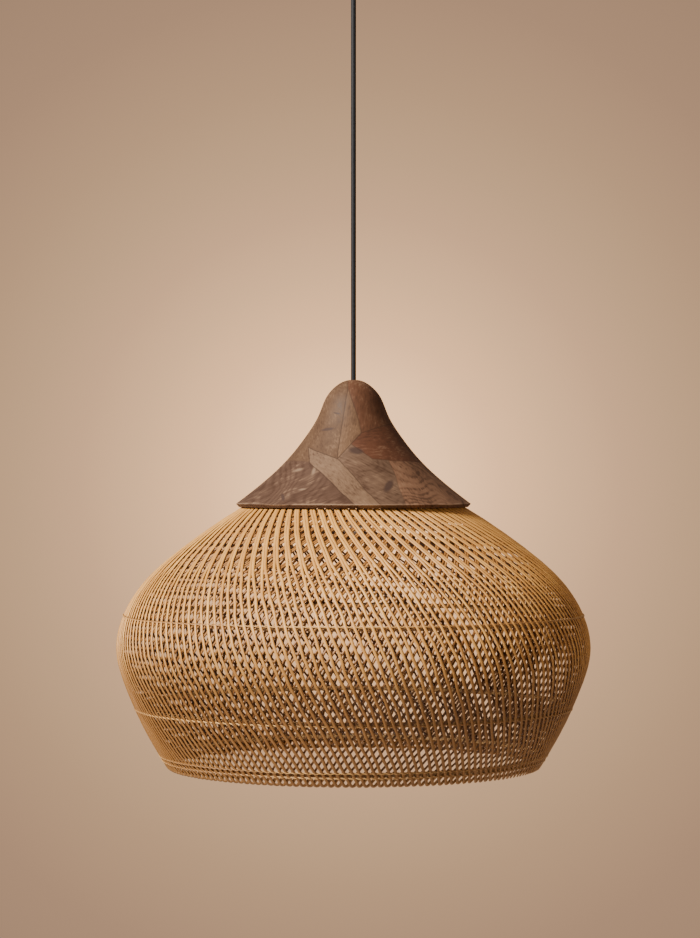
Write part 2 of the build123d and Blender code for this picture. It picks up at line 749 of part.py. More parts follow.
with BuildPart() as screw_cap:
    with BuildSketch(Plane.XZ) as screw_cap_profile:
        with BuildLine() as screw_cap_line:
            cap_bore_side = bulb_cap_r - bulb_cap_wall
            Polyline(
                (bulb_cap_r, bulb_neck_z),
                (bulb_cap_r, bulb_cap_z - bulb_cap_slope),
                (bulb_cap_r - bulb_cap_slope, bulb_cap_z),
                (bulb_tip_r, bulb_cap_z),
                (bulb_tip_r, bulb_cap_z - bulb_cap_wall),
                (cap_bore_side - bulb_cap_slope, bulb_cap_z - bulb_cap_wall),
                (cap_bore_side, bulb_cap_z - bulb_cap_slope - bulb_cap_wall),
                (cap_bore_side, bulb_neck_z),
                close=True,
            )
        make_face()
    revolve(axis=Axis.Z)
keep(screw_cap.part, "bulb_screw_cap")

with BuildPart() as insulator:
    with BuildSketch(Plane.XY.offset(bulb_cap_z)) as insulator_face:
        Circle(bulb_cap_r - bulb_cap_slope - bulb_cap_wall)
    extrude(amount=bulb_insulator_h, taper=45)
keep(insulator.part, "bulb_insulator")

with BuildPart() as tip:
    with BuildSketch(Plane.XY.offset(bulb_insulator_z)) as tip_face:
        Circle(bulb_tip_r)
    extrude(amount=bulb_tip_h)
    fillet(tip.edges().group_by(Axis.Z)[-1], bulb_tip_h / 2)
keep(tip.part, "bulb_tip")

filament_top = bulb_foot + bulb_r + filament_rise
filament_foot = filament_top - filament_length
stem_foot = filament_top + stem_clear
stem_top = bulb_neck_z + bulb_neck_in - bulb_glass_wall
with BuildPart() as stem:
    with BuildSketch(Plane.XY.offset(stem_foot)) as stem_face:
        Circle(stem_r)
    extrude(amount=stem_top - stem_foot)
    fillet(stem.edges().group_by(Axis.Z)[0], stem_r / 2)
    with BuildSketch(Plane.XY.offset(stem_top)) as flange_face:
        Circle(bulb_neck_r - bulb_glass_wall - fit)
    extrude(amount=-stem_flange)
    with BuildSketch(Plane.XY.offset(filament_foot)) as rod_face:
        Circle(stem_rod_r)
    extrude(amount=stem_foot + stem_r - filament_foot)
keep(stem.part, "bulb_stem")

with BuildPart() as filaments:
    with BuildSketch(Plane.XY.offset(filament_foot)) as filament_faces:
        with PolarLocations(filament_ring, filament_count):
            Circle(filament_r)
    extrude(amount=filament_length)
keep(filaments.part, "bulb_filaments")

with BuildPart() as filament_wires:
    for number in range(filament_count):
        spoke = radial(number * 360 / filament_count)
        for wire_z in (filament_foot + filament_inset, filament_top - filament_inset):
            with BuildSketch(across(spoke.from_local_coords((stem_rod_r, wire_z, 0)), spoke.x_dir)):
                Circle(filament_wire_r)
            extrude(amount=filament_ring - stem_rod_r - filament_r)
keep(filament_wires.part, "filament_wires")

# ---- Cane shade ------------------------------------------------------------------------------------
shade_top = (cap_foot_r - shade_top_in, cap_foot_drop + shade_top_drop)  # radius, depth under the rim


def shade_curve():
    """The shade's outer outline as one smooth line, from under the cap down to the mouth."""
    points = [(shade_top[0], rim_z - shade_top[1])]
    for share_r, share_h in shade_shares:
        radius = shade_top[0] + share_r * (shade_r - shade_top[0])
        depth = shade_top[1] + share_h * (shade_h - shade_top[1])
        points.append((radius, rim_z - depth))
    runs = [shade_top_run, shade_foot_run]
    return Spline(*points, tangents=runs, tangent_scalars=[1, 1], mode=Mode.PRIVATE)


def stop_at(curve, level):
    """How far along the outline, from 0 to 1, a level lies."""
    low, high = 0.0, 1.0
    while high - low > stop_accuracy:
        middle = (low + high) / 2
        if (curve @ middle).Y > level:
            low = middle
        else:
            high = middle
    return low


def seat_at(curve, below_rim, depth):
    """The point at this depth behind the outline, square to it, at a level below the cap's rim."""
    return inset(curve, depth, [stop_at(curve, rim_z - below_rim)])[0]


with BuildLine() as shade_guide:
    outline = shade_curve()


def skin_section(depth, start, end, spans):
    """The section of a skin this far under the outline, between two places along it."""
    stops = [start + (end - start) * number / spans for number in range(spans + 1)]
    with BuildSketch(Plane.XZ) as section:
        with BuildLine():
            face_out = Spline(*inset(outline, depth, stops))
            face_in = Spline(*inset(outline, depth + cane_skin, stops))
            Line(face_out @ 0, face_in @ 0)
            Line(face_out @ 1, face_in @ 1)
        make_face()
    return section.sketch


def turn_in_lengths(section, lengths, radius):
    """Turns a section about Z in equal lengths whose ends butt with a fit's gap at a radius."""
    share = 360 / lengths
    for number in range(lengths):
        cut_end = Rot(0, 0, number * share) * section
        revolve(cut_end, axis=Axis.Z, revolution_arc=share - degrees(fit / radius))


with BuildPart() as inner_layer:
    revolve(skin_section(cane_depth_inner, 0, 1, skin_spans), axis=Axis.Z)
keep(inner_layer.part, "inner_cane_layer")

band_start = 0.0
for name, band_end in skin_bands.items():
    with BuildPart() as band:
        section = skin_section(cane_depth_outer, band_start, band_end - band_seam, band_spans)
        if name == "foot":
            turn_in_lengths(section, foot_lengths, (outline @ 1).X)
        else:
            revolve(section, axis=Axis.Z)
    keep(band.part, f"outer_canes_{name}")
    band_start = band_end

hoop_depth = cane_depth_inner + cane_skin + gap
hoop_drops = {
    "upper": upper_hoop_drop,
    "lower": shade_h - lower_hoop_up,
    "foot": shade_h - foot_hoop_up,
}
top_seat = inset(outline, hoop_depth + top_hoop_r, [top_hoop_stop])[0]


def ring_section(seat, radius):
    """The round section, centred on a seat point of the profile, of a ring about Z."""
    with BuildSketch(Plane.XZ) as section:
        with Locations((seat.X, seat.Y)):
            Circle(radius)
    return section.sketch


with BuildPart() as top_hoop:
    revolve(ring_section(top_seat, top_hoop_r), axis=Axis.Z)
keep(top_hoop.part, "top_hoop")

for name, below_rim in hoop_drops.items():
    with BuildPart() as hoop:
        seat_inside = seat_at(outline, below_rim, hoop_depth + hoop_r)
        if name == "foot":
            turn_in_lengths(ring_section(seat_inside, hoop_r), foot_lengths, seat_inside.X)
        else:
            revolve(ring_section(seat_inside, hoop_r), axis=Axis.Z)
    keep(hoop.part, f"{name}_hoop")
    with BuildPart() as binding:
        seat_outside = seat_at(outline, below_rim, cane_depth_outer - gap - binding_r)
        revolve(ring_section(seat_outside, binding_r), axis=Axis.Z)
    keep(binding.part, f"{name}_binding")

# ---- Spider that carries the shade -----------------------------------------------------------------
with BuildPart() as spider:
    with BuildSketch(Plane.XY.offset(spider_z - spider_ring_thick / 2)) as spider_ring:
        Circle(spider_ring_r)
        Circle(holder_body_r + slip, mode=Mode.SUBTRACT)
    extrude(amount=spider_ring_thick)
    for number in range(spider_arms):
        spoke = radial(45 + number * 360 / spider_arms)
        clip_mid = top_seat.X - top_hoop_r / 2 - clip_wall
        with BuildLine(spoke) as arm_line:
            FilletPolyline(
                (spider_ring_r - spider_wire_r / 2, spider_z),
                (spider_knee_r, spider_z - spider_knee_drop),
                (clip_mid, top_seat.Y),
                radius=spider_bend,
            )
        with BuildSketch(across(arm_line.line @ 0, arm_line.line % 0)) as arm_face:
            Circle(spider_wire_r)
        sweep(path=arm_line.line)
        with BuildSketch(spoke.offset(-clip_width / 2)) as clip_face:
            with Locations((top_seat.X - (top_hoop_r + clip_wall) / 2 - slip, top_seat.Y)):
                Rectangle(top_hoop_r + clip_wall, 2 * (top_hoop_r - clip_shy))
        extrude(amount=clip_width)
    revolve(ring_section(top_seat, top_hoop_r + slip), axis=Axis.Z, mode=Mode.SUBTRACT)
keep(spider.part, "shade_spider")
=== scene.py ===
# %% [markdown]
# # A woven cane pendant light, dressed in Blender
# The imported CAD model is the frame: every piece made here is placed from its boxes and surfaces.
# This file goes on to show how a weave of canes is grown over a surface with Geometry Nodes, and how
# wood, cane, porcelain and metal are described with shader nodes only.
#
# Lengths are in metres. The ceiling is z = 0 and the lamp hangs below it, its axis on Z.

# %% Load the frame
import json
import math

import bpy
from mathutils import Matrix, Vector
from mathutils.bvhtree import BVHTree


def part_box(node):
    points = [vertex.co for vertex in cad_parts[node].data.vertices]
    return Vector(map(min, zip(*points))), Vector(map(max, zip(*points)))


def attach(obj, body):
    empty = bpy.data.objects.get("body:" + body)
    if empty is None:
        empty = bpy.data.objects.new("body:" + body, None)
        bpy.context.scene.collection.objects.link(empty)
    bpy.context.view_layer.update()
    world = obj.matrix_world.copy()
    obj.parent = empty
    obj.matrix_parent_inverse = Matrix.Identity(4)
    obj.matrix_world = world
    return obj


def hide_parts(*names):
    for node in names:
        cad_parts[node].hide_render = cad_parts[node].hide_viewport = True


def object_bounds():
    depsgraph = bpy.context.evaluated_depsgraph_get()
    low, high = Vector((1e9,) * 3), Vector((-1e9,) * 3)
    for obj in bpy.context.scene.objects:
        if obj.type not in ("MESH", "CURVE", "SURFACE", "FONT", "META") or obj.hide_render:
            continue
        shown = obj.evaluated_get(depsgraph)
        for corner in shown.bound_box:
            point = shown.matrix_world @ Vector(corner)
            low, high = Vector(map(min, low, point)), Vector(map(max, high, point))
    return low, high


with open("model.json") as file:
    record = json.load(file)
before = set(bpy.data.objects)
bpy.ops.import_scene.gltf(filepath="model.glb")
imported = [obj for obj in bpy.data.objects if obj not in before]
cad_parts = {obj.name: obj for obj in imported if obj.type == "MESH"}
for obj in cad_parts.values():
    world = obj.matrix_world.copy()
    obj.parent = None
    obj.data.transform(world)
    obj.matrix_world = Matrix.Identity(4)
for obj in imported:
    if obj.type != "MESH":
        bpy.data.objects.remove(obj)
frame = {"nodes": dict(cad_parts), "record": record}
size_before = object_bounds()
nodes = frame["nodes"]
MM = 0.001
low, high = size_before
print("frame", len(nodes), "nodes, size", [round(v, 4) for v in high - low])

# %% [markdown]
# ## Camera and flex first
# A level camera, a little left of the axis, with a long lens: a long lens keeps the shade's round
# mouth nearly flat, as it looks from across a room. The flex is the only soft piece. It runs from the
# mouth of the grip under the ceiling rose to the top of the wooden cap.

# %% Camera
CAMERA_BACK = 3.5
CAMERA_LEVEL = -0.698
CAMERA_ASIDE = -0.0044
CAMERA_LENS = 105.8
camera = bpy.data.objects.new("camera", bpy.data.cameras.new("camera"))
camera.data.lens = CAMERA_LENS
camera.location = (CAMERA_ASIDE, -CAMERA_BACK, CAMERA_LEVEL)
camera.rotation_euler = (math.pi / 2, 0, 0)
bpy.context.scene.collection.objects.link(camera)
bpy.context.scene.camera = camera
print("camera", CAMERA_BACK, "m back, lens", CAMERA_LENS, "mm")

# %% [markdown]
# The flex hangs taut under the lamp's weight, so a straight NURBS spline with a round bevel is all it
# needs. A mesh tube would do as well, but a curve keeps the number of faces easy to change.

# %% Flex
cap_low, cap_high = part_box("wooden_cap")
flex_low, flex_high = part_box("flex_free")
CAP_HEIGHT = 157 * MM  # of the bell above its rim
flex_diameter = flex_high.x - flex_low.x
flex_top = flex_high.z
flex_foot = flex_low.z


def cord_curve(name, points, diameter):
    """A round cord as a NURBS spline through these control points."""
    data = bpy.data.curves.new(name, "CURVE")
    data.dimensions = "3D"
    data.bevel_depth = diameter / 2
    data.bevel_resolution = 4
    data.resolution_u = 6
    data.use_fill_caps = True
    spline = data.splines.new("NURBS")
    spline.points.add(len(points) - 1)
    for place, point in zip(spline.points, points):
        place.co = (*point, 1)
    spline.order_u = 3
    spline.use_endpoint_u = True
    made = bpy.data.objects.new(name, data)
    bpy.context.scene.collection.objects.link(made)
    return made


flex_points = [(0, 0, flex_foot + (flex_top - flex_foot) * step / 8) for step in range(9)]
flex = cord_curve("flex_cable", flex_points, flex_diameter)
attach(flex, "flex")
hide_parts("flex_free")
print("flex", round(flex_top - flex_foot, 4), "m long,", round(flex_diameter, 4), "m thick")

# %% [markdown]
# ## Writing node trees in short
# `Graph` wraps a tree. Each call adds one node: plain values are set on its sockets, sockets of other
# nodes are linked. The call gives back one output socket, so formulas read from the inside out.

# %% A small writer for node trees
class Graph:
    """Adds nodes to a tree and links them."""

    def __init__(self, tree):
        self.tree = tree

    def put(self, kind, *values, out=0, named=None, **props):
        """Adds a node, fills its sockets in order or by name, and returns one of its outputs."""
        node = self.tree.nodes.new(kind)
        for prop, value in props.items():
            setattr(node, prop, value)
        for socket, value in list(enumerate(values)) + list((named or {}).items()):
            if value is None:
                continue
            if isinstance(socket, str):
                target = next(s for s in node.inputs if s.name == socket and s.enabled)
            else:
                target = node.inputs[socket]
            if isinstance(value, bpy.types.NodeSocket):
                self.tree.links.new(value, target)
            else:
                target.default_value = value
        if isinstance(out, str):
            return next(s for s in node.outputs if s.name == out and s.enabled)
        return node.outputs[out] if len(node.outputs) else node

    def math(self, operation, *values):
        return self.put("ShaderNodeMath", *values, operation=operation)

    def add(self, a, b):
        return self.math("ADD", a, b)

    def sub(self, a, b):
        return self.math("SUBTRACT", a, b)

    def mul(self, a, b):
        return self.math("MULTIPLY", a, b)

    def mix(self, factor, a, b):
        """a where factor is 0 and b where it is 1, for plain numbers."""
        return self.put("ShaderNodeMix", factor, None, a, b, data_type="FLOAT")

    def ramp(self, value, low, high, to_low=0.0, to_high=1.0):
        """Maps a value smoothly from one range to another."""
        return self.put(
            "ShaderNodeMapRange", value, low, high, to_low, to_high, interpolation_type="SMOOTHSTEP"
        )

    def vector(self, x=0.0, y=0.0, z=0.0):
        return self.put("ShaderNodeCombineXYZ", x, y, z)

    def split(self, vector):
        """The three numbers of a vector."""
        node = self.tree.nodes.new("ShaderNodeSeparateXYZ")
        self.tree.links.new(vector, node.inputs[0])
        return node.outputs

    def store(self, geometry, label, value, kind="FLOAT"):
        """Keeps a value on every point of a geometry under a name."""
        return self.put(
            "GeometryNodeStoreNamedAttribute",
            named={"Geometry": geometry, "Name": label, "Value": value},
            data_type=kind,
            domain="POINT",
        )

    def noise(self, place, scale, detail=2.0, rough=0.5):
        """A noise value about 0.5 at a place."""
        return self.put(
            "ShaderNodeTexNoise",
            named={"Vector": place, "Scale": scale, "Detail": detail, "Roughness": rough},
            normalize=True,
        )


# %% [markdown]
# ## The canes
# One cane is a long strip: it starts under the wooden cap, leans as it runs down the outside, turns
# in a small bow at the mouth and climbs back up inside, leaning further. Its path is worked out once,
# in the plane of the profile, from the surface of the CAD skins. Geometry Nodes then lays 176 of them
# round the axis, in pairs under the cap, and gives each its own wander.

# %% The surface that the canes follow
def merged_tree(names):
    """One search tree over the faces of several CAD nodes."""
    verts, faces = [], []
    for name in names:
        mesh = nodes[name].data
        start = len(verts)
        verts += [v.co.copy() for v in mesh.vertices]
        faces += [[start + i for i in p.vertices] for p in mesh.polygons]
    return BVHTree.FromPolygons(verts, faces)


SKINS = [f"outer_canes_{part}" for part in ("shoulder", "upper", "belly", "lower", "foot")]
outside = merged_tree(SKINS)
skin_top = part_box(SKINS[0])[1].z
skin_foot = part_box(SKINS[-1])[0].z
LEVELS = 240
first_level, last_level = skin_top - 1.6 * MM, skin_foot + 0.4 * MM
profile = []
for step in range(LEVELS + 1):
    z = first_level + (last_level - first_level) * (step / LEVELS)
    hit = outside.ray_cast(Vector((1, 0, z)), Vector((-1, 0, 0)))[0]
    if hit:
        profile.append(Vector((hit.x, z)))
print("profile", len(profile), "levels, widest", round(max(p.x for p in profile), 4))

# distance down the profile, the turn for a lean of 45 degrees, and the outward normal
drops, turns = [0.0], [0.0]
for a, b in zip(profile, profile[1:]):
    run = (b - a).length
    drops.append(drops[-1] + run)
    turns.append(turns[-1] + run / ((a.x + b.x) / 2))
SKIN_LENGTH = drops[-1]


def along(s):
    """The profile at a distance down it: point, outward normal, and turn."""
    s_in = min(max(s, 0.0), SKIN_LENGTH - 1e-6)
    high_i = next(i for i, d in enumerate(drops) if d > s_in)
    a, b = profile[high_i - 1], profile[high_i]
    share = (s_in - drops[high_i - 1]) / (drops[high_i] - drops[high_i - 1])
    before, after = profile[max(high_i - 3, 0)], profile[min(high_i + 2, len(profile) - 1)]
    tangent = (after - before).normalized()
    point = a.lerp(b, share) + tangent * (s - s_in)
    turn = turns[high_i - 1] + share * (turns[high_i] - turns[high_i - 1]) + (s - s_in) / point.x
    return point, Vector((-tangent.y, tangent.x)), turn


# %% [markdown]
# A real cane is pushed up under the cap, bent over the mouth hoop and woven back. Drawing it as a
# curve by hand would not keep it on the surface, so its path is stepped out by formula: down the
# profile at one lean, round a bow at the mouth, and up inside at another. Each point also keeps its
# length along the cane and its distance down the shade, which the weave and the colours read later.

# %% One cane's path
LEAN_OUT = math.radians(22)
LEAN_IN = math.radians(33)
DEPTH_OUT = 0.6 * MM  # of a cane's middle, under the CAD skin's outer face
DEPTH_IN = 2.55 * MM
BOW = 2.7 * MM
BOW_PAST_FOOT = 0.6 * MM  # how far the bow reaches beyond the skin's foot
TUCK = 4.0 * MM  # how far the canes run on, up under the cap's foot
RUN_STEPS = 58  # along each run of a cane
BOW_STEPS = 8
CANES = 176


def place(s, depth, turned, length):
    """One point of the path: radius, level, turn about the axis, normal, length so far, drop."""
    point, normal, _ = along(s)
    seat = point - normal * depth
    return (seat.x, seat.y, turned, normal.x, normal.y, length, s)


def cane_paths():
    """The outer run with its bow at the mouth, and the inner run, as lists of path points."""
    turn_at = SKIN_LENGTH - BOW * (1 - math.sin(LEAN_OUT)) + BOW_PAST_FOOT
    outer, inner = [], []
    for k in range(RUN_STEPS + 1):
        s = (turn_at + TUCK) * k / RUN_STEPS - TUCK
        outer.append(place(s, DEPTH_OUT, math.tan(LEAN_OUT) * along(s)[2], s / math.cos(LEAN_OUT)))
    turned, length, s = outer[-1][2], outer[-1][5], turn_at
    swing = math.pi - LEAN_IN - LEAN_OUT
    for k in range(1, BOW_STEPS + 1):
        heading = LEAN_OUT + swing * (k - 0.5) / BOW_STEPS
        stride = BOW * swing / BOW_STEPS
        s += stride * math.cos(heading)
        turned += stride * math.sin(heading) / along(s)[0].x
        length += stride
        share = k / BOW_STEPS
        outer.append(place(s, DEPTH_OUT + (DEPTH_IN - DEPTH_OUT) * share, turned, length))
    end_turn = along(s)[2]
    for k in range(RUN_STEPS + 1):
        s_up = (s + TUCK) * (1 - k / RUN_STEPS) - TUCK
        turned_up = turned + math.tan(LEAN_IN) * (end_turn - along(s_up)[2])
        point = place(s_up, DEPTH_IN, turned_up, length + (s - s_up) / math.cos(LEAN_IN))
        inner.append(point)
    outer += inner[1:3]  # the two runs lap, so that no gap shows between them
    return outer, inner[1:]


outer_path, inner_path = cane_paths()
print("a cane turns", round(math.degrees(inner_path[-1][2]), 1), "degrees in all")


def path_object(name, path):
    """The path as a chain of edges that carries its numbers as point attributes."""
    mesh = bpy.data.meshes.new(name)
    mesh.from_pydata([(p[0], 0, p[1]) for p in path], [(i, i + 1) for i in range(len(path) - 1)], [])
    for label, column in (("turn", 2), ("length", 5), ("drop", 6)):
        layer = mesh.attributes.new(label, "FLOAT", "POINT")
        layer.data.foreach_set("value", [p[column] for p in path])
    layer = mesh.attributes.new("outward", "FLOAT_VECTOR", "POINT")
    layer.data.foreach_set("vector", [v for p in path for v in (p[3], 0.0, p[4])])
    made = bpy.data.objects.new(name, mesh)
    bpy.context.scene.collection.objects.link(made)
    return made


# %% [markdown]
# ## Growing the weave
# The next helpers open and close a geometry node group, and make the flat section of a cane, which
# carries how far round the section each corner lies.

# %% Helpers for geometry node groups
def named(graph, label, kind="FLOAT"):
    """Reads a value that was stored on the points."""
    return graph.put("GeometryNodeInputNamedAttribute", label, data_type=kind)


def new_group(name, inputs):
    """A geometry node group with these inputs: label to (socket type, value)."""
    tree = bpy.data.node_groups.new(name, "GeometryNodeTree")
    tree.is_modifier = True
    tree.interface.new_socket("Geometry", in_out="INPUT", socket_type="NodeSocketGeometry")
    for label, (kind, value) in inputs.items():
        socket = tree.interface.new_socket(label, in_out="INPUT", socket_type=kind)
        if value is not None:
            socket.default_value = value
    tree.interface.new_socket("Geometry", in_out="OUTPUT", socket_type="NodeSocketGeometry")
    entry = tree.nodes.new("NodeGroupInput")
    return tree, Graph(tree), {s.name: s for s in entry.outputs if s.name}


def finish_group(graph, geometry, material):
    """Ends a geometry group: real geometry with its material, smooth shaded."""
    smooth = graph.put("GeometryNodeSetShadeSmooth", geometry)
    real = graph.put("GeometryNodeRealizeInstances", smooth)
    done = graph.put("GeometryNodeSetMaterial", named={"Geometry": real, "Material": material})
    graph.put("NodeGroupOutput", done)


FLOAT, INT, MATERIAL = "NodeSocketFloat", "NodeSocketInt", "NodeSocketMaterial"


def strip_section(graph, half_width, half_thick):
    """A flattened six-sided section for a cane."""
    ring = graph.put("GeometryNodeCurvePrimitiveCircle", named={"Resolution": 6, "Radius": 1.0})
    turn = graph.mul(graph.put("GeometryNodeSplineParameter", out="Factor"), 2 * math.pi)
    for label, value in (("across", graph.math("SINE", turn)), ("skin", graph.math("COSINE", turn))):
        ring = graph.store(ring, label, value)
    return graph.put(
        "GeometryNodeTransform",
        named={"Geometry": ring, "Scale": graph.vector(half_thick, half_width, 1.0)},
    )


# %% [markdown]
# Laying the canes by hand would take hundreds of objects. A node group lays a whole layer at once: it
# copies the path, numbers the copies, turns each to its seat about the axis, and sweeps the flat
# section along it. Its inputs are the sizes that a weaver would choose. Hand work is never even, so
# the canes drift together, wander a little each on its own, and swell and thin along their length.

# %% Node group for the canes
PARTING = 0.09  # how far down the shade different pairs part sooner or later, in metres
DRIFT = 3.2  # of neighbours together, in shares of Wander
OWN_PAIRED, OWN_PARTED = 1.2, 4.2  # of one cane alone, in shares of Wander
RIPPLE = 0.9 * MM  # in and out of the surface
SLIM, SWELL = 0.80, 0.40
THIN_START, THIN_FULL = 0.16, 0.30  # metres down the shade
WIDE_AT_CAP, THIN_AT_FOOT = 1.15, 0.78


def cane_group():
    """The canes of one layer, grown from a single path in the plane of the profile."""
    tree, g, given = new_group(
        "canes",
        {
            "Count": (INT, CANES),
            "Width": (FLOAT, 4.2 * MM),
            "Thickness": (FLOAT, 1.9 * MM),
            "Pair Gap": (FLOAT, 3.3 * MM),
            "Pairs End": (FLOAT, 0.155),
            "Wander": (FLOAT, 1.25 * MM),
            "Seed": (FLOAT, 0.0),
            "Material": (MATERIAL, None),
        },
    )
    curve = g.put("GeometryNodeMeshToCurve", given["Geometry"])
    copies = g.tree.nodes.new("GeometryNodeDuplicateElements")
    copies.domain = "SPLINE"
    g.tree.links.new(curve, copies.inputs["Geometry"])
    g.tree.links.new(given["Count"], copies.inputs["Amount"])
    laid = g.store(copies.outputs["Geometry"], "cane", copies.outputs["Duplicate Index"])
    number = named(g, "cane")
    drop = named(g, "drop")
    length = named(g, "length")
    radius, _, level = g.split(g.put("GeometryNodeInputPosition"))
    pair = g.math("FLOOR", g.mul(number, 0.5))
    side = g.sub(g.mul(g.sub(number, g.mul(pair, 2.0)), 2.0), 1.0)
    pair_turn = g.math("DIVIDE", g.mul(pair, 4 * math.pi), given["Count"])
    # each pair parts at its own place
    part_early = g.noise(g.vector(g.mul(pair, 3.7), given["Seed"], 2.0), 1.0)
    shift = g.mul(g.sub(part_early, 0.5), PARTING)
    starts = g.add(g.mul(given["Pairs End"], 0.6), shift)
    open_by = g.ramp(drop, starts, g.add(given["Pairs End"], shift))
    closed = g.math("DIVIDE", g.mul(given["Pair Gap"], 0.5), radius)
    spread = g.math("DIVIDE", math.pi, given["Count"])
    half_turn = g.mix(open_by, closed, spread)
    # slow wander shared with the neighbours, and a quick one of the cane's own
    slow_place = g.vector(g.mul(pair_turn, 2.6), g.mul(drop, 14.0), given["Seed"])
    slow = g.mul(g.sub(g.noise(slow_place, 1.0, 1.0), 0.5), DRIFT)
    own_place = g.vector(g.mul(number, 5.3), g.mul(length, 38.0), g.add(given["Seed"], 3.0))
    own_share = g.mix(open_by, OWN_PAIRED, OWN_PARTED)
    own = g.mul(g.sub(g.noise(own_place, 1.0, 2.0), 0.5), own_share)
    aside = g.math("DIVIDE", g.mul(g.add(slow, own), given["Wander"]), radius)
    turned = g.add(g.add(named(g, "turn"), pair_turn), g.add(g.mul(side, half_turn), aside))
    ripple_place = g.vector(g.mul(number, 9.1), g.mul(length, 60.0), given["Seed"])
    ripple = g.mul(g.sub(g.noise(ripple_place, 1.0, 1.0), 0.5), RIPPLE)
    outward = named(g, "outward", "FLOAT_VECTOR")
    lift = g.put("ShaderNodeVectorMath", outward, operation="SCALE", named={"Scale": ripple})
    flat = g.put("ShaderNodeVectorMath", g.vector(radius, 0.0, level), lift, operation="ADD")

    def spin(vector):
        return g.put(
            "ShaderNodeVectorRotate",
            named={"Vector": vector, "Angle": turned},
            rotation_type="Z_AXIS",
        )

    # both turned vectors are stored before anything moves, then used
    for label, value in (("seat", spin(flat)), ("facing", spin(outward))):
        laid = g.store(laid, label, value, "FLOAT_VECTOR")
    size_place = g.vector(g.mul(number, 2.3), g.mul(length, 24.0), g.add(given["Seed"], 8.0))
    size = g.add(SLIM, g.mul(g.noise(size_place, 1.0, 1.0), SWELL))
    size = g.mul(size, g.ramp(drop, THIN_START, THIN_FULL, WIDE_AT_CAP, THIN_AT_FOOT))
    moved = g.put(
        "GeometryNodeSetPosition",
        named={"Geometry": laid, "Position": named(g, "seat", "FLOAT_VECTOR")},
    )
    turned_up = g.put(
        "GeometryNodeSetCurveNormal",
        named={"Curve": moved, "Normal": named(g, "facing", "FLOAT_VECTOR")},
        mode="FREE",
    )
    sized = g.put("GeometryNodeSetCurveRadius", named={"Curve": turned_up, "Radius": size})
    section = strip_section(g, g.mul(given["Width"], 0.5), g.mul(given["Thickness"], 0.5))
    solid = g.put(
        "GeometryNodeCurveToMesh",
        named={"Curve": sized, "Profile Curve": section, "Fill Caps": True},
    )
    finish_group(g, solid, given["Material"])
    return tree


CANE_GROUP = cane_group()
print("cane group", len(CANE_GROUP.nodes), "nodes")

# %% [markdown]
# The evaluated result is copied into a plain mesh, because an export drops instances and modifiers.
# Every piece of the weave rides on the lamp, so it swings with the CAD nodes.

# %% Run a group and keep its mesh
def grow(name, base, tree, values, body="lamp"):
    """Runs a geometry group on a base object and keeps the result as a plain mesh riding on a body."""
    modifier = base.modifiers.new(name, "NODES")
    modifier.node_group = tree
    sockets = {s.name: s.identifier for s in tree.interface.items_tree if s.in_out == "INPUT"}
    for label, value in values.items():
        modifier[sockets[label]] = value
    graph = bpy.context.evaluated_depsgraph_get()
    mesh = bpy.data.meshes.new_from_object(base.evaluated_get(graph))
    mesh.name = name
    bpy.data.objects.remove(base)
    made = bpy.data.objects.new(name, mesh)
    bpy.context.scene.collection.objects.link(made)
    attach(made, body)
    print(name, sum(len(p.vertices) - 2 for p in mesh.polygons), "triangles")
    return made


# %% [markdown]
# ## Materials
# Shared effects are shader node groups. A cane's fibres run along it, so the cane carries its length
# and its number as attributes; wood and metal use the object's own coordinates.

# %% Shared shader groups
def shader_group(name, inputs, outputs, build):
    """A shader node group: build gets a Graph and the inputs, and returns one socket per output."""
    tree = bpy.data.node_groups.new(name, "ShaderNodeTree")
    for label, kind in inputs:
        tree.interface.new_socket(label, in_out="INPUT", socket_type=kind)
    for label, kind in outputs:
        tree.interface.new_socket(label, in_out="OUTPUT", socket_type=kind)
    entry = tree.nodes.new("NodeGroupInput")
    exits = tree.nodes.new("NodeGroupOutput")
    made = build(Graph(tree), {s.name: s for s in entry.outputs if s.name})
    for socket, value in zip(exits.inputs, made):
        tree.links.new(value, socket)
    return tree


VECTOR = "NodeSocketVector"


def build_fibres(g, given):
    """Fine light and dark streaks along a cane, over broader blotches."""
    streak = g.noise(given["Fibre"], 1.0, 3.0, 0.6)
    blotch_place = g.put("ShaderNodeVectorMath", given["Fibre"], (0.03, 1.0, 0.4), operation="MULTIPLY")
    blotch = g.noise(blotch_place, 2.4, 2.0)
    both = g.add(g.mul(streak, 0.55), g.mul(blotch, 0.45))
    return [both, streak]


FIBRES = shader_group(
    "fibres", [("Fibre", VECTOR)], [("Tone", FLOAT), ("Streak", FLOAT)], build_fibres
)


def build_mottle(g, given):
    """Soft uneven wear over a painted or metal surface."""
    broad = g.noise(given["Place"], given["Scale"], 3.0)
    fine = g.noise(given["Place"], g.mul(given["Scale"], 9.0), 2.0)
    return [g.add(g.mul(broad, 0.6), g.mul(fine, 0.4))]


MOTTLE = shader_group(
    "mottle", [("Place", VECTOR), ("Scale", FLOAT)], [("Wear", FLOAT)], build_mottle
)
print("shader groups", FIBRES.name, MOTTLE.name)

# %% [markdown]
# The next helpers open a material, set its sockets, lay a colour ramp, mix two colours and place one
# of the shared groups. Every material below is written with them.

# %% Helpers for materials


def new_material(name):
    """An empty material with its Principled shader, and the graph to feed it."""
    material = bpy.data.materials.new(name)
    material.use_nodes = True
    shader = next(n for n in material.node_tree.nodes if n.type == "BSDF_PRINCIPLED")
    return material, Graph(material.node_tree), shader


def feed(graph, shader, **sockets):
    """Sets or links the sockets of a shader; underscores in a name stand for spaces."""
    for label, value in sockets.items():
        target = shader.inputs[label.replace("_", " ")]
        if isinstance(value, bpy.types.NodeSocket):
            graph.tree.links.new(value, target)
        else:
            target.default_value = value


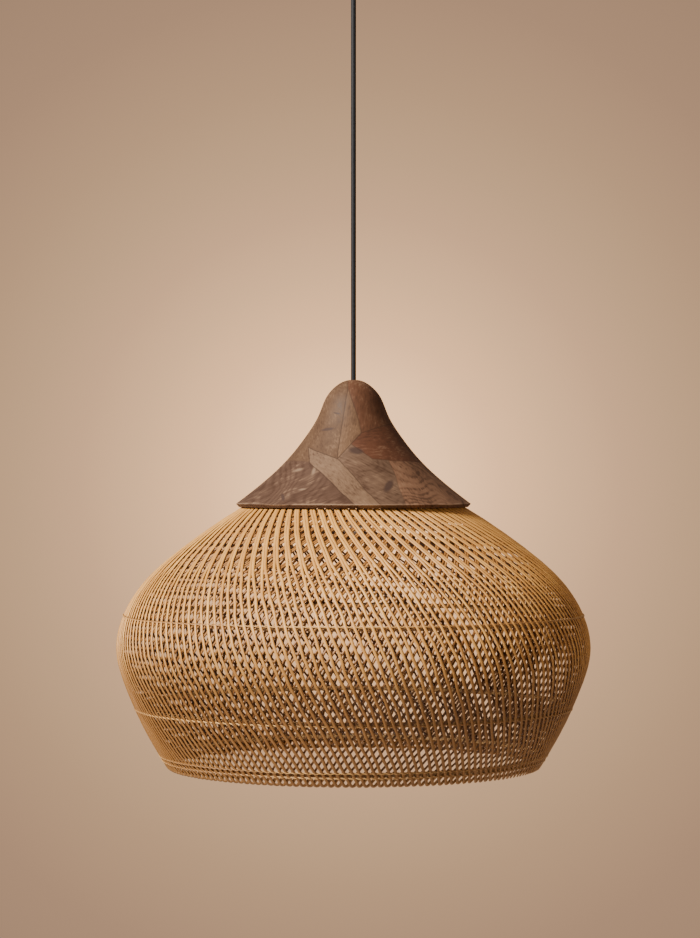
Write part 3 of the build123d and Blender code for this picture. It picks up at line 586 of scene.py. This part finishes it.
def colours(graph, value, stops):
    """A colour ramp through (place, colour) stops."""
    node = graph.tree.nodes.new("ShaderNodeValToRGB")
    ramp = node.color_ramp
    while len(ramp.elements) < len(stops):
        ramp.elements.new(0.5)
    for element, (position, colour) in zip(ramp.elements, stops):
        element.position = position
        element.color = (*colour, 1)
    graph.tree.links.new(value, node.inputs[0])
    return node.outputs[0]


def blend(graph, factor, a, b):
    """Mixes two colours: the colour sockets of a Mix node are its seventh and eighth."""
    skipped = [None] * 5
    return graph.put("ShaderNodeMix", factor, *skipped, a, b, out=2, data_type="RGBA")


def group_node(graph, tree, out, **inputs):
    """Places a shader group, with its own values, and returns one of its outputs."""
    node = graph.tree.nodes.new("ShaderNodeGroup")
    node.node_tree = tree
    for label, value in inputs.items():
        if isinstance(value, bpy.types.NodeSocket):
            graph.tree.links.new(value, node.inputs[label])
        else:
            node.inputs[label].default_value = value
    return node.outputs[out]


# %% [markdown]
# Cane is the glossy outer peel of rattan. A picture of cane would stretch over so many strips, so each
# strip reads its own number and length instead, and no two look the same. The peel faces out; the sides
# and inner face of each strip get painted shade, and so do the canes near the mouth, which face down,
# away from the light.

# %% Cane
# painted shade: the canes darken towards the mouth, where they face down, away from the light
FOOT_SHADE_START, FOOT_SHADE_FULL = 0.20, 0.31  # metres down the shade
FOOT_SHADE_SHARE, FOOT_SHADE_DEPTH = 0.85, 0.55
# painted shade on the sides and inner face of each cane
SIDE_SHADE_SHARE = 0.85  # of the dark tone, on the inner face


def cane_material(name, dark, mid, light):
    """Split cane: long fibres, a tone for each cane, and painted shade on its sides, inner face and
    foot.
    """
    material, g, shader = new_material(name)
    number = g.put("ShaderNodeAttribute", attribute_name="cane", out="Fac")
    length = g.put("ShaderNodeAttribute", attribute_name="length", out="Fac")
    across = g.put("ShaderNodeAttribute", attribute_name="across", out="Fac")
    skin = g.put("ShaderNodeAttribute", attribute_name="skin", out="Fac")
    fibre = g.vector(g.add(g.mul(across, 3.4), g.mul(number, 17.3)), g.mul(length, 14.0), number)
    tone = group_node(g, FIBRES, "Tone", Fibre=fibre)
    streak = group_node(g, FIBRES, "Streak", Fibre=fibre)
    own = g.noise(g.vector(g.mul(number, 4.1), 0.0, 1.0), 1.0, 0.0)
    value = g.add(g.mul(tone, 0.7), g.mul(own, 0.3))
    bright = colours(g, value, [(0.3, dark), (0.5, mid), (0.68, light)])
    # painted shade: the sides and inner face of each cane blend towards the dark tone
    face = g.ramp(skin, -0.35, 0.45)
    base = blend(g, face, tuple(c * SIDE_SHADE_SHARE for c in dark) + (1,), bright)
    # painted shade towards the mouth, where the canes face down, away from the light
    drop = g.put("ShaderNodeAttribute", attribute_name="drop", out="Fac")
    foot_shade = g.mul(g.ramp(drop, FOOT_SHADE_START, FOOT_SHADE_FULL), FOOT_SHADE_SHARE)
    base = blend(g, foot_shade, base, tuple(c * FOOT_SHADE_DEPTH for c in dark) + (1,))
    bump = g.put("ShaderNodeBump", named={"Height": streak, "Strength": 0.35, "Distance": 0.0004})
    feed(
        g,
        shader,
        Base_Color=base,
        Roughness=0.5,
        Normal=bump,
        Specular_IOR_Level=0.45,
        Coat_Weight=0.12,
        Coat_Roughness=0.35,
    )
    return material


OUTER_CANE = cane_material(
    "outer cane", (0.36, 0.145, 0.028), (0.64, 0.31, 0.072), (0.88, 0.49, 0.13)
)
# the same cane in darker tones: painted shade for the inside of the shade
SHADED_INNER_CANE = cane_material(
    "inner cane", (0.14, 0.048, 0.010), (0.34, 0.145, 0.034), (0.56, 0.28, 0.075)
)
BINDING_CANE = cane_material(
    "binding cane", (0.36, 0.17, 0.05), (0.62, 0.35, 0.12), (0.82, 0.53, 0.23)
)
print("cane materials", OUTER_CANE.name, SHADED_INNER_CANE.name, BINDING_CANE.name)


# %% [markdown]
# Paint, plastic, porcelain and metal differ in a few numbers only, so one function makes them all: a
# colour that is a little deeper where it is worn, and a roughness that follows the same wear.

# %% Paint, plastic and metal
def plain_material(name, colour, roughness, metallic=0.0, wear=0.12, scale=60.0, **extra):
    """Paint, plastic, porcelain or metal with soft uneven wear."""
    material, g, shader = new_material(name)
    spot = g.put("ShaderNodeTexCoord", out="Object")
    worn = group_node(g, MOTTLE, "Wear", Place=spot, Scale=scale)
    deep = tuple(c * (1 - wear * 2) for c in colour)
    pale = tuple(min(1.0, c * (1 + wear) + 0.01) for c in colour)
    base = colours(g, worn, [(0.35, deep), (0.65, pale)])
    rough = g.ramp(worn, 0.3, 0.7, max(roughness - 0.08, 0.03), roughness + 0.08)
    bump = g.put("ShaderNodeBump", named={"Height": worn, "Strength": 0.12, "Distance": 0.0003})
    feed(g, shader, Base_Color=base, Roughness=rough, Metallic=metallic, Normal=bump, **extra)
    return material


# %% [markdown]
# The bell looks turned from a block that was glued up from planks and burl, so its joints run straight
# through the wood. Painting them on would need an image. Here each patch is a polygon drawn on the
# front and carried straight through to the back. The distance to its edges gives both the patch and
# its dark joint. The grain is stretched noise, turned for each patch, and the burl's rings are bands
# of a warped field.

# %% Walnut of the cap
# each patch: its corners, as x and level above the rim in millimetres; its colour; the way of its
# grain in degrees; how strongly its rings show; how dark its joints are. Later ones lie on top.
PATCHES = [
    (
        [(-88.9, 54.2), (-54.2, 53.3), (16.1, -11.4), (-182.6, -11.4), (-182.6, 28)],
        (0.086, 0.046, 0.029), 24, 0.9, 0,
    ),
    (
        [(-57, 71.1), (-20.4, 56.5), (45.2, -2.4), (45.2, -13.2), (16.5, -13.2), (-54.2, 52)],
        (0.165, 0.098, 0.058), 133, 0, 0.8,
    ),
    (
        [(-20.4, 56.5), (-2.6, 76.8), (44.2, 80.5), (68.6, -9.5), (44.2, -9.5)],
        (0.122, 0.070, 0.043), 152, 0.45, 0.7,
    ),
    (
        [(42.4, 58.9), (98.6, 69.2), (192.4, -13.2), (68.6, -13.2)],
        (0.188, 0.095, 0.054), 118, 0.85, 0.3,
    ),
    (
        [(10.9, 90.2), (98.6, 114.2), (98.6, 51.4), (23.6, 56.5), (-4.1, 76.8)],
        (0.098, 0.037, 0.019), 12, 0, 0.5,
    ),
    (
        [(-7.7, 148), (10.9, 90.2), (-20.4, 56.5), (-14.8, 97.4)],
        (0.133, 0.072, 0.038), 78, 0, 0.8,
    ),
    (
        [(-7.7, 174.2), (89.2, 174.2), (89.2, 112.4), (10.9, 90.2), (-7.7, 144.2)],
        (0.098, 0.040, 0.020), 88, 0, 0.6,
    ),
]
# ovals: middle, half sizes and tilt
KNOTS = [
    ((3.4, 67), (10.5, 5.2), -8),
    ((43.3, 23.3), (5.2, 9.5), -35),
    ((-86.1, 10.2), (2.4, 5), 20),
    ((-32.6, 93.6), (9, 2), 8),
    ((-21.4, 113.7), (5, 1.2), -12),
]
PALE_SPOTS = [
    ((-69.2, 42.6), (9, 2.2), 18),
    ((-49.1, 42.1), (2.6, 7), -20),
    ((-62.6, 19.6), (6, 1.6), 10),
]
JOINT_WOBBLE = 6 * MM
PATCH_EDGE = 1.2 * MM  # over which one patch gives way to the next, or less at a dark joint
JOINT_THIN, JOINT_WIDE = 0.2 * MM, 1.0 * MM
DEEP_BROWN = (0.045, 0.020, 0.011, 1)
PALE_BROWN = (0.32, 0.20, 0.12, 1)
SAPWOOD = (0.36, 0.24, 0.15, 1)
KNOT_BROWN = (0.050, 0.028, 0.022, 1)
PORE_BROWN = (0.035, 0.016, 0.009, 1)
JOINT_BROWN = (0.025, 0.011, 0.006, 1)
# the pale line painted along the cap's rim is a painted highlight, where the edge catches the light
RIM_HIGHLIGHT = (0.36, 0.23, 0.14, 1)
GRAIN_STRETCH = (24.0, 180.0, 480.0)  # along the grain and across it
RING_BANDS = 150.0
print(len(PATCHES), "patches", len(KNOTS), "knots", len(PALE_SPOTS), "pale spots")


def walnut():
    """The cap's pieced walnut: patches, grain, rings, knots and thin dark joints."""
    material, g, shader = new_material("walnut")
    spot = g.put("ShaderNodeTexCoord", out="Object")
    across, _, level = g.split(spot)
    wobble = g.mul(g.sub(g.noise(spot, 16.0, 2.0), 0.5), JOINT_WOBBLE)
    x = g.add(across, wobble)
    z = g.add(g.sub(level, cap_high.z - CAP_HEIGHT), wobble)

    def inward(a, b):
        """Distance to the inner side of the edge from corner a to corner b."""
        along_x, along_z = b[0] - a[0], b[1] - a[1]
        size = math.hypot(along_x, along_z)
        off_x = g.mul(g.sub(x, a[0] * MM), along_z / size)
        return g.sub(off_x, g.mul(g.sub(z, a[1] * MM), along_x / size))

    def oval(middle, radii, tilt):
        """0 at the middle of an oval and 1 at its edge."""
        angle = math.radians(tilt)
        dx, dz = g.sub(x, middle[0] * MM), g.sub(z, middle[1] * MM)
        u = g.add(g.mul(dx, math.cos(angle)), g.mul(dz, math.sin(angle)))
        v = g.sub(g.mul(dz, math.cos(angle)), g.mul(dx, math.sin(angle)))
        u, v = g.mul(u, 1 / (radii[0] * MM)), g.mul(v, 1 / (radii[1] * MM))
        return g.math("SQRT", g.add(g.mul(u, u), g.mul(v, v)))

    base, seam = (0.104, 0.056, 0.030, 1), 0.0  # the smooth plank under all the patches
    angle, rings = 1.9, 0.12
    for corners, colour, grain_way, ring_strength, joint in PATCHES:
        depth = None
        for a, b in zip(corners, corners[1:] + corners[:1]):
            here = inward(a, b)
            depth = here if depth is None else g.math("MINIMUM", depth, here)
        reach = PATCH_EDGE - JOINT_WIDE * joint
        inside = g.ramp(depth, -reach, reach)
        base = blend(g, inside, base, (*colour, 1))
        angle = g.mix(inside, angle, math.radians(grain_way))
        rings = g.mix(inside, rings, ring_strength)
        line = g.ramp(g.math("ABSOLUTE", depth), JOINT_THIN, JOINT_WIDE, joint, 0.0)
        seam = g.math("MAXIMUM", g.mul(seam, g.sub(1.0, inside)), line)
    about_y = {"Vector": spot, "Axis": (0, 1, 0), "Angle": angle}
    way = g.put("ShaderNodeVectorRotate", named=about_y)
    swirl_size = {"Vector": spot, "Scale": 17.0, "Detail": 2.0}
    swirl = g.put("ShaderNodeTexNoise", out="Color", named=swirl_size)
    long_way = g.put("ShaderNodeVectorMath", way, GRAIN_STRETCH, operation="MULTIPLY")
    curled = g.put(
        "ShaderNodeVectorMath",
        long_way,
        g.put("ShaderNodeVectorMath", swirl, operation="SCALE", named={"Scale": 5.0}),
        operation="ADD",
    )
    grain = g.noise(curled, 1.0, 4.0, 0.62)
    figure = g.noise(spot, 30.0, 3.0, 0.62)
    # growth rings: bands of a warped field
    field = g.noise(spot, 11.0, 1.0, 0.4)
    warped = g.add(field, g.mul(grain, 0.02))
    ring = g.ramp(g.math("SINE", g.mul(warped, RING_BANDS)), -0.4, 1.0)
    shade = g.add(g.mul(grain, 0.55), g.mul(figure, 0.45))
    shade = g.sub(shade, g.mul(g.mul(ring, rings), 0.11))
    tinted = blend(g, g.ramp(shade, 0.30, 0.53, 0.78, 0.0), base, DEEP_BROWN)
    tinted = blend(g, g.ramp(shade, 0.50, 0.72, 0.0, 0.45), tinted, PALE_BROWN)
    for middle, radii, tilt in PALE_SPOTS:
        spread = g.ramp(oval(middle, radii, tilt), 0.2, 1.2, 0.45, 0.0)
        tinted = blend(g, spread, tinted, SAPWOOD)
    for middle, radii, tilt in KNOTS:
        spread = g.ramp(oval(middle, radii, tilt), 0.55, 1.15, 0.85, 0.0)
        tinted = blend(g, spread, tinted, KNOT_BROWN)
    pores = g.ramp(g.noise(curled, 5.0, 1.0), 0.66, 0.74)
    tinted = blend(g, g.mul(pores, 0.5), tinted, PORE_BROWN)
    joined = blend(g, g.mul(seam, 0.7), tinted, JOINT_BROWN)
    # painted highlight: a pale line along the rim's edge
    off_rim = g.math("ABSOLUTE", g.sub(z, 0.6 * MM))
    rim_highlight = g.mul(g.ramp(off_rim, 0.2 * MM, 1.6 * MM, 0.5, 0.0), g.ramp(figure, 0.35, 0.6))
    joined = blend(g, rim_highlight, joined, RIM_HIGHLIGHT)
    height = {"Height": g.sub(grain, seam), "Strength": 0.12, "Distance": 0.4 * MM}
    bump = g.put("ShaderNodeBump", named=height)
    feed(
        g,
        shader,
        Base_Color=joined,
        Roughness=g.ramp(grain, 0.3, 0.7, 0.55, 0.7),
        Normal=bump,
        Specular_IOR_Level=0.22,
    )
    return material


# %% [markdown]
# The bulb's glass is smooth and clear, so a plain transmission shader does. Its filament is unlit in
# daylight: thin amber strips, given a little subsurface light because the coating is waxy.

# %% Glass and filament
def glass_material(name, colour, roughness=0.02):
    """Blown glass: clear, with a faint tint."""
    material, g, shader = new_material(name)
    spot = g.put("ShaderNodeTexCoord", out="Object")
    worn = group_node(g, MOTTLE, "Wear", Place=spot, Scale=40.0)
    feed(
        g,
        shader,
        Base_Color=(*colour, 1),
        Roughness=g.ramp(worn, 0.3, 0.8, roughness, roughness + 0.04),
        Transmission_Weight=1.0,
        IOR=1.45,
    )
    return material


def filament_material():
    """The amber coated strips of the bulb, unlit."""
    material, g, shader = new_material("filament")
    spot = g.put("ShaderNodeTexCoord", out="Object")
    worn = group_node(g, MOTTLE, "Wear", Place=spot, Scale=300.0)
    base = colours(g, worn, [(0.3, (0.75, 0.40, 0.06)), (0.7, (0.92, 0.60, 0.16))])
    feed(
        g,
        shader,
        Base_Color=base,
        Roughness=0.45,
        Subsurface_Weight=0.2,
        Subsurface_Radius=(1.0 * MM, 0.6 * MM, 0.3 * MM),
    )
    return material


# %% [markdown]
# The record gives each CAD node a material slot. Every slot gets a material here, and every node is
# dressed by its slot, so the small metal and plastic pieces inside the cap look right without any
# work of their own. The hoops are wrapped in cane peel, whose turns show as ridges across them, with
# painted shade in the grooves between the turns.

# %% A material for every slot
SLOTS = {
    "walnut": walnut(),
    "outer_cane": OUTER_CANE,
    "inner_cane": SHADED_INNER_CANE,
    "binding_cane": BINDING_CANE,
    "spider_wire": plain_material("spider wire", (0.62, 0.58, 0.50), 0.32, 0.9),
    "flex_sheath": plain_material(
        "flex sheath", (0.008, 0.009, 0.012), 0.62, 0.0, 0.1, 300.0, Specular_IOR_Level=0.25
    ),
    "wire_sleeve": plain_material("wire sleeve", (0.10, 0.16, 0.32), 0.4),
    "rose_paint": plain_material("rose paint", (0.022, 0.022, 0.024), 0.38, 0.0, 0.08, 90.0),
    "black_nylon": plain_material("black nylon", (0.020, 0.020, 0.021), 0.5, 0.0, 0.1, 220.0),
    "holder_plastic": plain_material("holder plastic", (0.024, 0.024, 0.026), 0.34, 0.0, 0.08, 150.0),
    "cream_plastic": plain_material("cream plastic", (0.72, 0.67, 0.55), 0.4),
    "porcelain": plain_material("porcelain", (0.82, 0.80, 0.76), 0.18, 0.0, 0.04),
    "zinc_steel": plain_material("zinc steel", (0.66, 0.67, 0.68), 0.33, 1.0),
    "brass": plain_material("brass", (0.74, 0.52, 0.22), 0.28, 1.0),
    "nickel": plain_material("nickel", (0.70, 0.69, 0.66), 0.24, 1.0),
    "clear_glass": glass_material("clear glass", (0.97, 0.97, 0.96)),
    "black_glass": plain_material("black glass", (0.012, 0.012, 0.014), 0.12),
    "filament_amber": filament_material(),
}


def hoop_material():
    """A hoop wrapped round with cane peel: the wraps show as ridges across them, with painted shade
    between them.
    """
    material, g, shader = new_material("hoop cane")
    spot = g.put("ShaderNodeTexCoord", out="Object")
    x, y, z = g.split(spot)
    turn = g.math("ARCTAN2", y, x)
    wrap_count = 300
    wraps = g.math("FRACT", g.add(g.mul(turn, wrap_count / (2 * math.pi)), g.mul(z, 90.0)))
    ridge = g.math("SINE", g.mul(wraps, math.pi))
    tone = g.noise(g.vector(g.mul(turn, 90.0), z, 0.0), 1.0, 3.0)
    stops = [(0.3, (0.24, 0.12, 0.045)), (0.5, (0.46, 0.27, 0.11)), (0.7, (0.64, 0.42, 0.2))]
    base = colours(g, tone, stops)
    # painted shade: a dark brown in the grooves between the wraps
    shaded = blend(g, g.ramp(ridge, 0.0, 0.35, 0.8, 0.0), base, (0.10, 0.045, 0.018, 1))
    bump = g.put("ShaderNodeBump", named={"Height": ridge, "Strength": 0.7, "Distance": 0.0008})
    feed(g, shader, Base_Color=shaded, Roughness=0.55, Normal=bump)
    return material


SLOTS["hoop_cane"] = hoop_material()

for subpart in frame["record"]["subparts"]:
    slot = subpart["material_slot"]
    mesh = nodes[subpart["node"]].data
    mesh.materials.clear()
    mesh.materials.append(SLOTS[slot])
flex.data.materials.append(SLOTS["flex_sheath"])
print(len(SLOTS), "slots")

# %% [markdown]
# Now the group runs on the two paths. The outer layer stands for the five CAD skins and the inner one
# for the inner skin, so each replaces them. The inner canes are thinner, as they are on the real shade,
# and both layers share a seed, so that a cane's two runs meet at the mouth.

# %% Grow the weave
outer_canes = grow(
    "outer_canes",
    path_object("outer_path", outer_path),
    CANE_GROUP,
    {"Count": CANES, "Seed": 1.0, "Material": OUTER_CANE},
)
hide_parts(*SKINS)
inner_canes = grow(
    "inner_canes",
    path_object("inner_path", inner_path),
    CANE_GROUP,
    {"Count": CANES, "Seed": 1.0, "Width": 3.1 * MM, "Thickness": 1.6 * MM, "Material": SHADED_INNER_CANE},
)
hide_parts("inner_cane_layer")

# %% [markdown]
# ## The twined strands
# Two thin strands run round the shade at each hoop. They swap places behind and in front of the canes,
# so each is a ring whose radius and level ripple once for every two canes, half a ripple apart.

# %% Twined strands
def twine_group():
    """One strand of a twined pair, as a rippling ring."""
    tree, g, given = new_group(
        "twine",
        {
            "Canes": (INT, CANES),
            "Ring Radius": (FLOAT, 0.29),
            "Level": (FLOAT, -0.8),
            "Strand": (FLOAT, 1.5 * MM),
            "In And Out": (FLOAT, 0.9 * MM),
            "Up And Down": (FLOAT, 0.9 * MM),
            "Phase": (FLOAT, 0.0),
            "Front Tuck": (FLOAT, 0.0),
            "Material": (MATERIAL, None),
        },
    )
    ring = g.put(
        "GeometryNodeCurvePrimitiveCircle",
        named={"Resolution": g.math("MULTIPLY", given["Canes"], 6.0), "Radius": 1.0},
    )
    factor = g.put("GeometryNodeSplineParameter", out="Factor")
    turn = g.mul(factor, 2 * math.pi)
    wave = g.add(g.mul(g.mul(turn, given["Canes"]), 0.5), given["Phase"])
    toward_front = g.math("POWER", g.math("SINE", turn), 2.0)
    ring_radius = g.sub(given["Ring Radius"], g.mul(toward_front, given["Front Tuck"]))
    radius = g.add(ring_radius, g.mul(g.math("SINE", wave), given["In And Out"]))
    uneven = g.noise(g.vector(g.mul(turn, 4.0), given["Level"], 0.0), 1.0, 2.0)
    sag = g.mul(g.sub(uneven, 0.5), 1.6 * MM)
    level = g.add(g.add(given["Level"], g.mul(g.math("COSINE", wave), given["Up And Down"])), sag)
    seat = g.vector(
        g.mul(radius, g.math("COSINE", turn)), g.mul(radius, g.math("SINE", turn)), level
    )
    for label, value in (("length", g.mul(turn, given["Ring Radius"])), ("cane", given["Phase"])):
        ring = g.store(ring, label, value)
    moved = g.put("GeometryNodeSetPosition", named={"Geometry": ring, "Position": seat})
    section = strip_section(g, g.mul(given["Strand"], 0.5), g.mul(given["Strand"], 0.4))
    solid = g.put("GeometryNodeCurveToMesh", named={"Curve": moved, "Profile Curve": section})
    finish_group(g, solid, given["Material"])
    return tree


TWINE_GROUP = twine_group()
TWINE_DEPTH = 0.4 * MM  # of a strand's middle, under the skin
print("twine group", len(TWINE_GROUP.nodes), "nodes")


def twine(name, node, shift, strand, tuck=0.0, bulge=0.9 * MM, stands_for=True):
    """Two strands twined at the level of a CAD binding; tuck draws the front and back in."""
    ring_low, ring_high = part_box(node)
    level = (ring_low.z + ring_high.z) / 2 + shift
    hit = outside.ray_cast(Vector((1, 0, level)), Vector((-1, 0, 0)))[0]
    for half in (0, 1):
        base = bpy.data.objects.new(name, bpy.data.meshes.new(name))
        bpy.context.scene.collection.objects.link(base)
        grow(
                f"{name}_{half}",
                base,
                TWINE_GROUP,
                {
                    "Canes": CANES,
                    "Ring Radius": hit.x - TWINE_DEPTH,
                    "Level": level,
                    "Strand": strand,
                    "Phase": half * math.pi,
                    "Front Tuck": tuck,
                    "In And Out": bulge,
                    "Material": BINDING_CANE,
                },
            )
    if stands_for:
        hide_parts(node)


twine("upper_twine", "upper_binding", 0.0, 1.9 * MM, 1.4 * MM, 1.3 * MM)
twine("lower_twine", "lower_binding", 0.0, 1.4 * MM, 2.2 * MM)
twine("foot_twine", "foot_binding", 0.2 * MM, 1.4 * MM, 0.3 * MM)
twine("foot_twine_upper", "foot_binding", 6.2 * MM, 1.3 * MM, 0.6 * MM, stands_for=False)

# %% [markdown]
# ## Room to see it in
# A plain pale floor far below, and two soft area lights: a strong one from the upper left, whose size
# softens the canes' shadows, and a weak one low on the right, so that the dark side keeps its detail.

# %% Stage and light
FLOOR_RADIUS, FLOOR_LEVEL = 2.6, -2.3
bpy.ops.mesh.primitive_circle_add(
    vertices=96, radius=FLOOR_RADIUS, fill_type="NGON", location=(0, 0, FLOOR_LEVEL)
)
floor = bpy.context.object
floor.name = "floor"
floor.data.materials.append(plain_material("pale floor", (0.62, 0.56, 0.50), 0.7, 0.0, 0.02, 3.0))
print("floor", FLOOR_RADIUS, "m in radius, at", FLOOR_LEVEL)


def soft_light(name, place, size, power, colour):
    """An area light at a place, turned to the lamp."""
    data = bpy.data.lights.new(name, "AREA")
    data.size = size
    data.energy = power
    data.color = colour
    light = bpy.data.objects.new(name, data)
    light.location = place
    aim = Vector((0, 0, (cap_low.z + skin_foot) / 2)) - Vector(place)
    light.rotation_euler = aim.to_track_quat("-Z", "Y").to_euler()
    bpy.context.scene.collection.objects.link(light)
    print(name, "light", power, "W")


soft_light("key", (-2.5, -1.9, 1.35), 1.3, 365, (1.0, 0.95, 0.88))
soft_light("fill", (2.4, -3.0, -0.9), 2.0, 12, (1.0, 0.93, 0.86))

# %% [markdown]
# Behind the lamp the wall is lit and fades outwards. A wall would stand in the way when the lamp is
# looked at from the back, so the glow is part of the world: it depends only on how far a direction
# lies from the one straight behind.

# %% The lit backdrop
world = bpy.data.worlds.new("room")
bpy.context.scene.world = world
world.use_nodes = True
room = Graph(world.node_tree)
backdrop = next(n for n in world.node_tree.nodes if n.type == "BACKGROUND")
GLOW_REACH = 40  # degrees
GLOW = [
    (0.0, (2.34, 1.28, 0.61)),
    (1.9, (1.88, 1.07, 0.53)),
    (3.1, (1.42, 0.80, 0.41)),
    (4.4, (1.09, 0.64, 0.34)),
    (5.6, (0.87, 0.51, 0.285)),
    (6.9, (0.72, 0.44, 0.245)),
    (8.3, (0.61, 0.37, 0.21)),
    (10.3, (0.49, 0.294, 0.178)),
    (20, (0.22, 0.15, 0.105)),
    (GLOW_REACH, (0.25, 0.19, 0.145)),
]
way_out = room.put("ShaderNodeTexCoord", out="Generated")
ahead = room.put(
    "ShaderNodeVectorMath", way_out, (0, 1, -0.006), operation="DOT_PRODUCT", out="Value"
)
off_axis = room.mul(room.math("ARCCOSINE", ahead), 180 / math.pi / GLOW_REACH)
glow = colours(room, off_axis, [(degrees / GLOW_REACH, tint) for degrees, tint in GLOW])
room.tree.links.new(glow, backdrop.inputs["Color"])
print("backdrop", len(GLOW), "stops over", GLOW_REACH, "degrees")
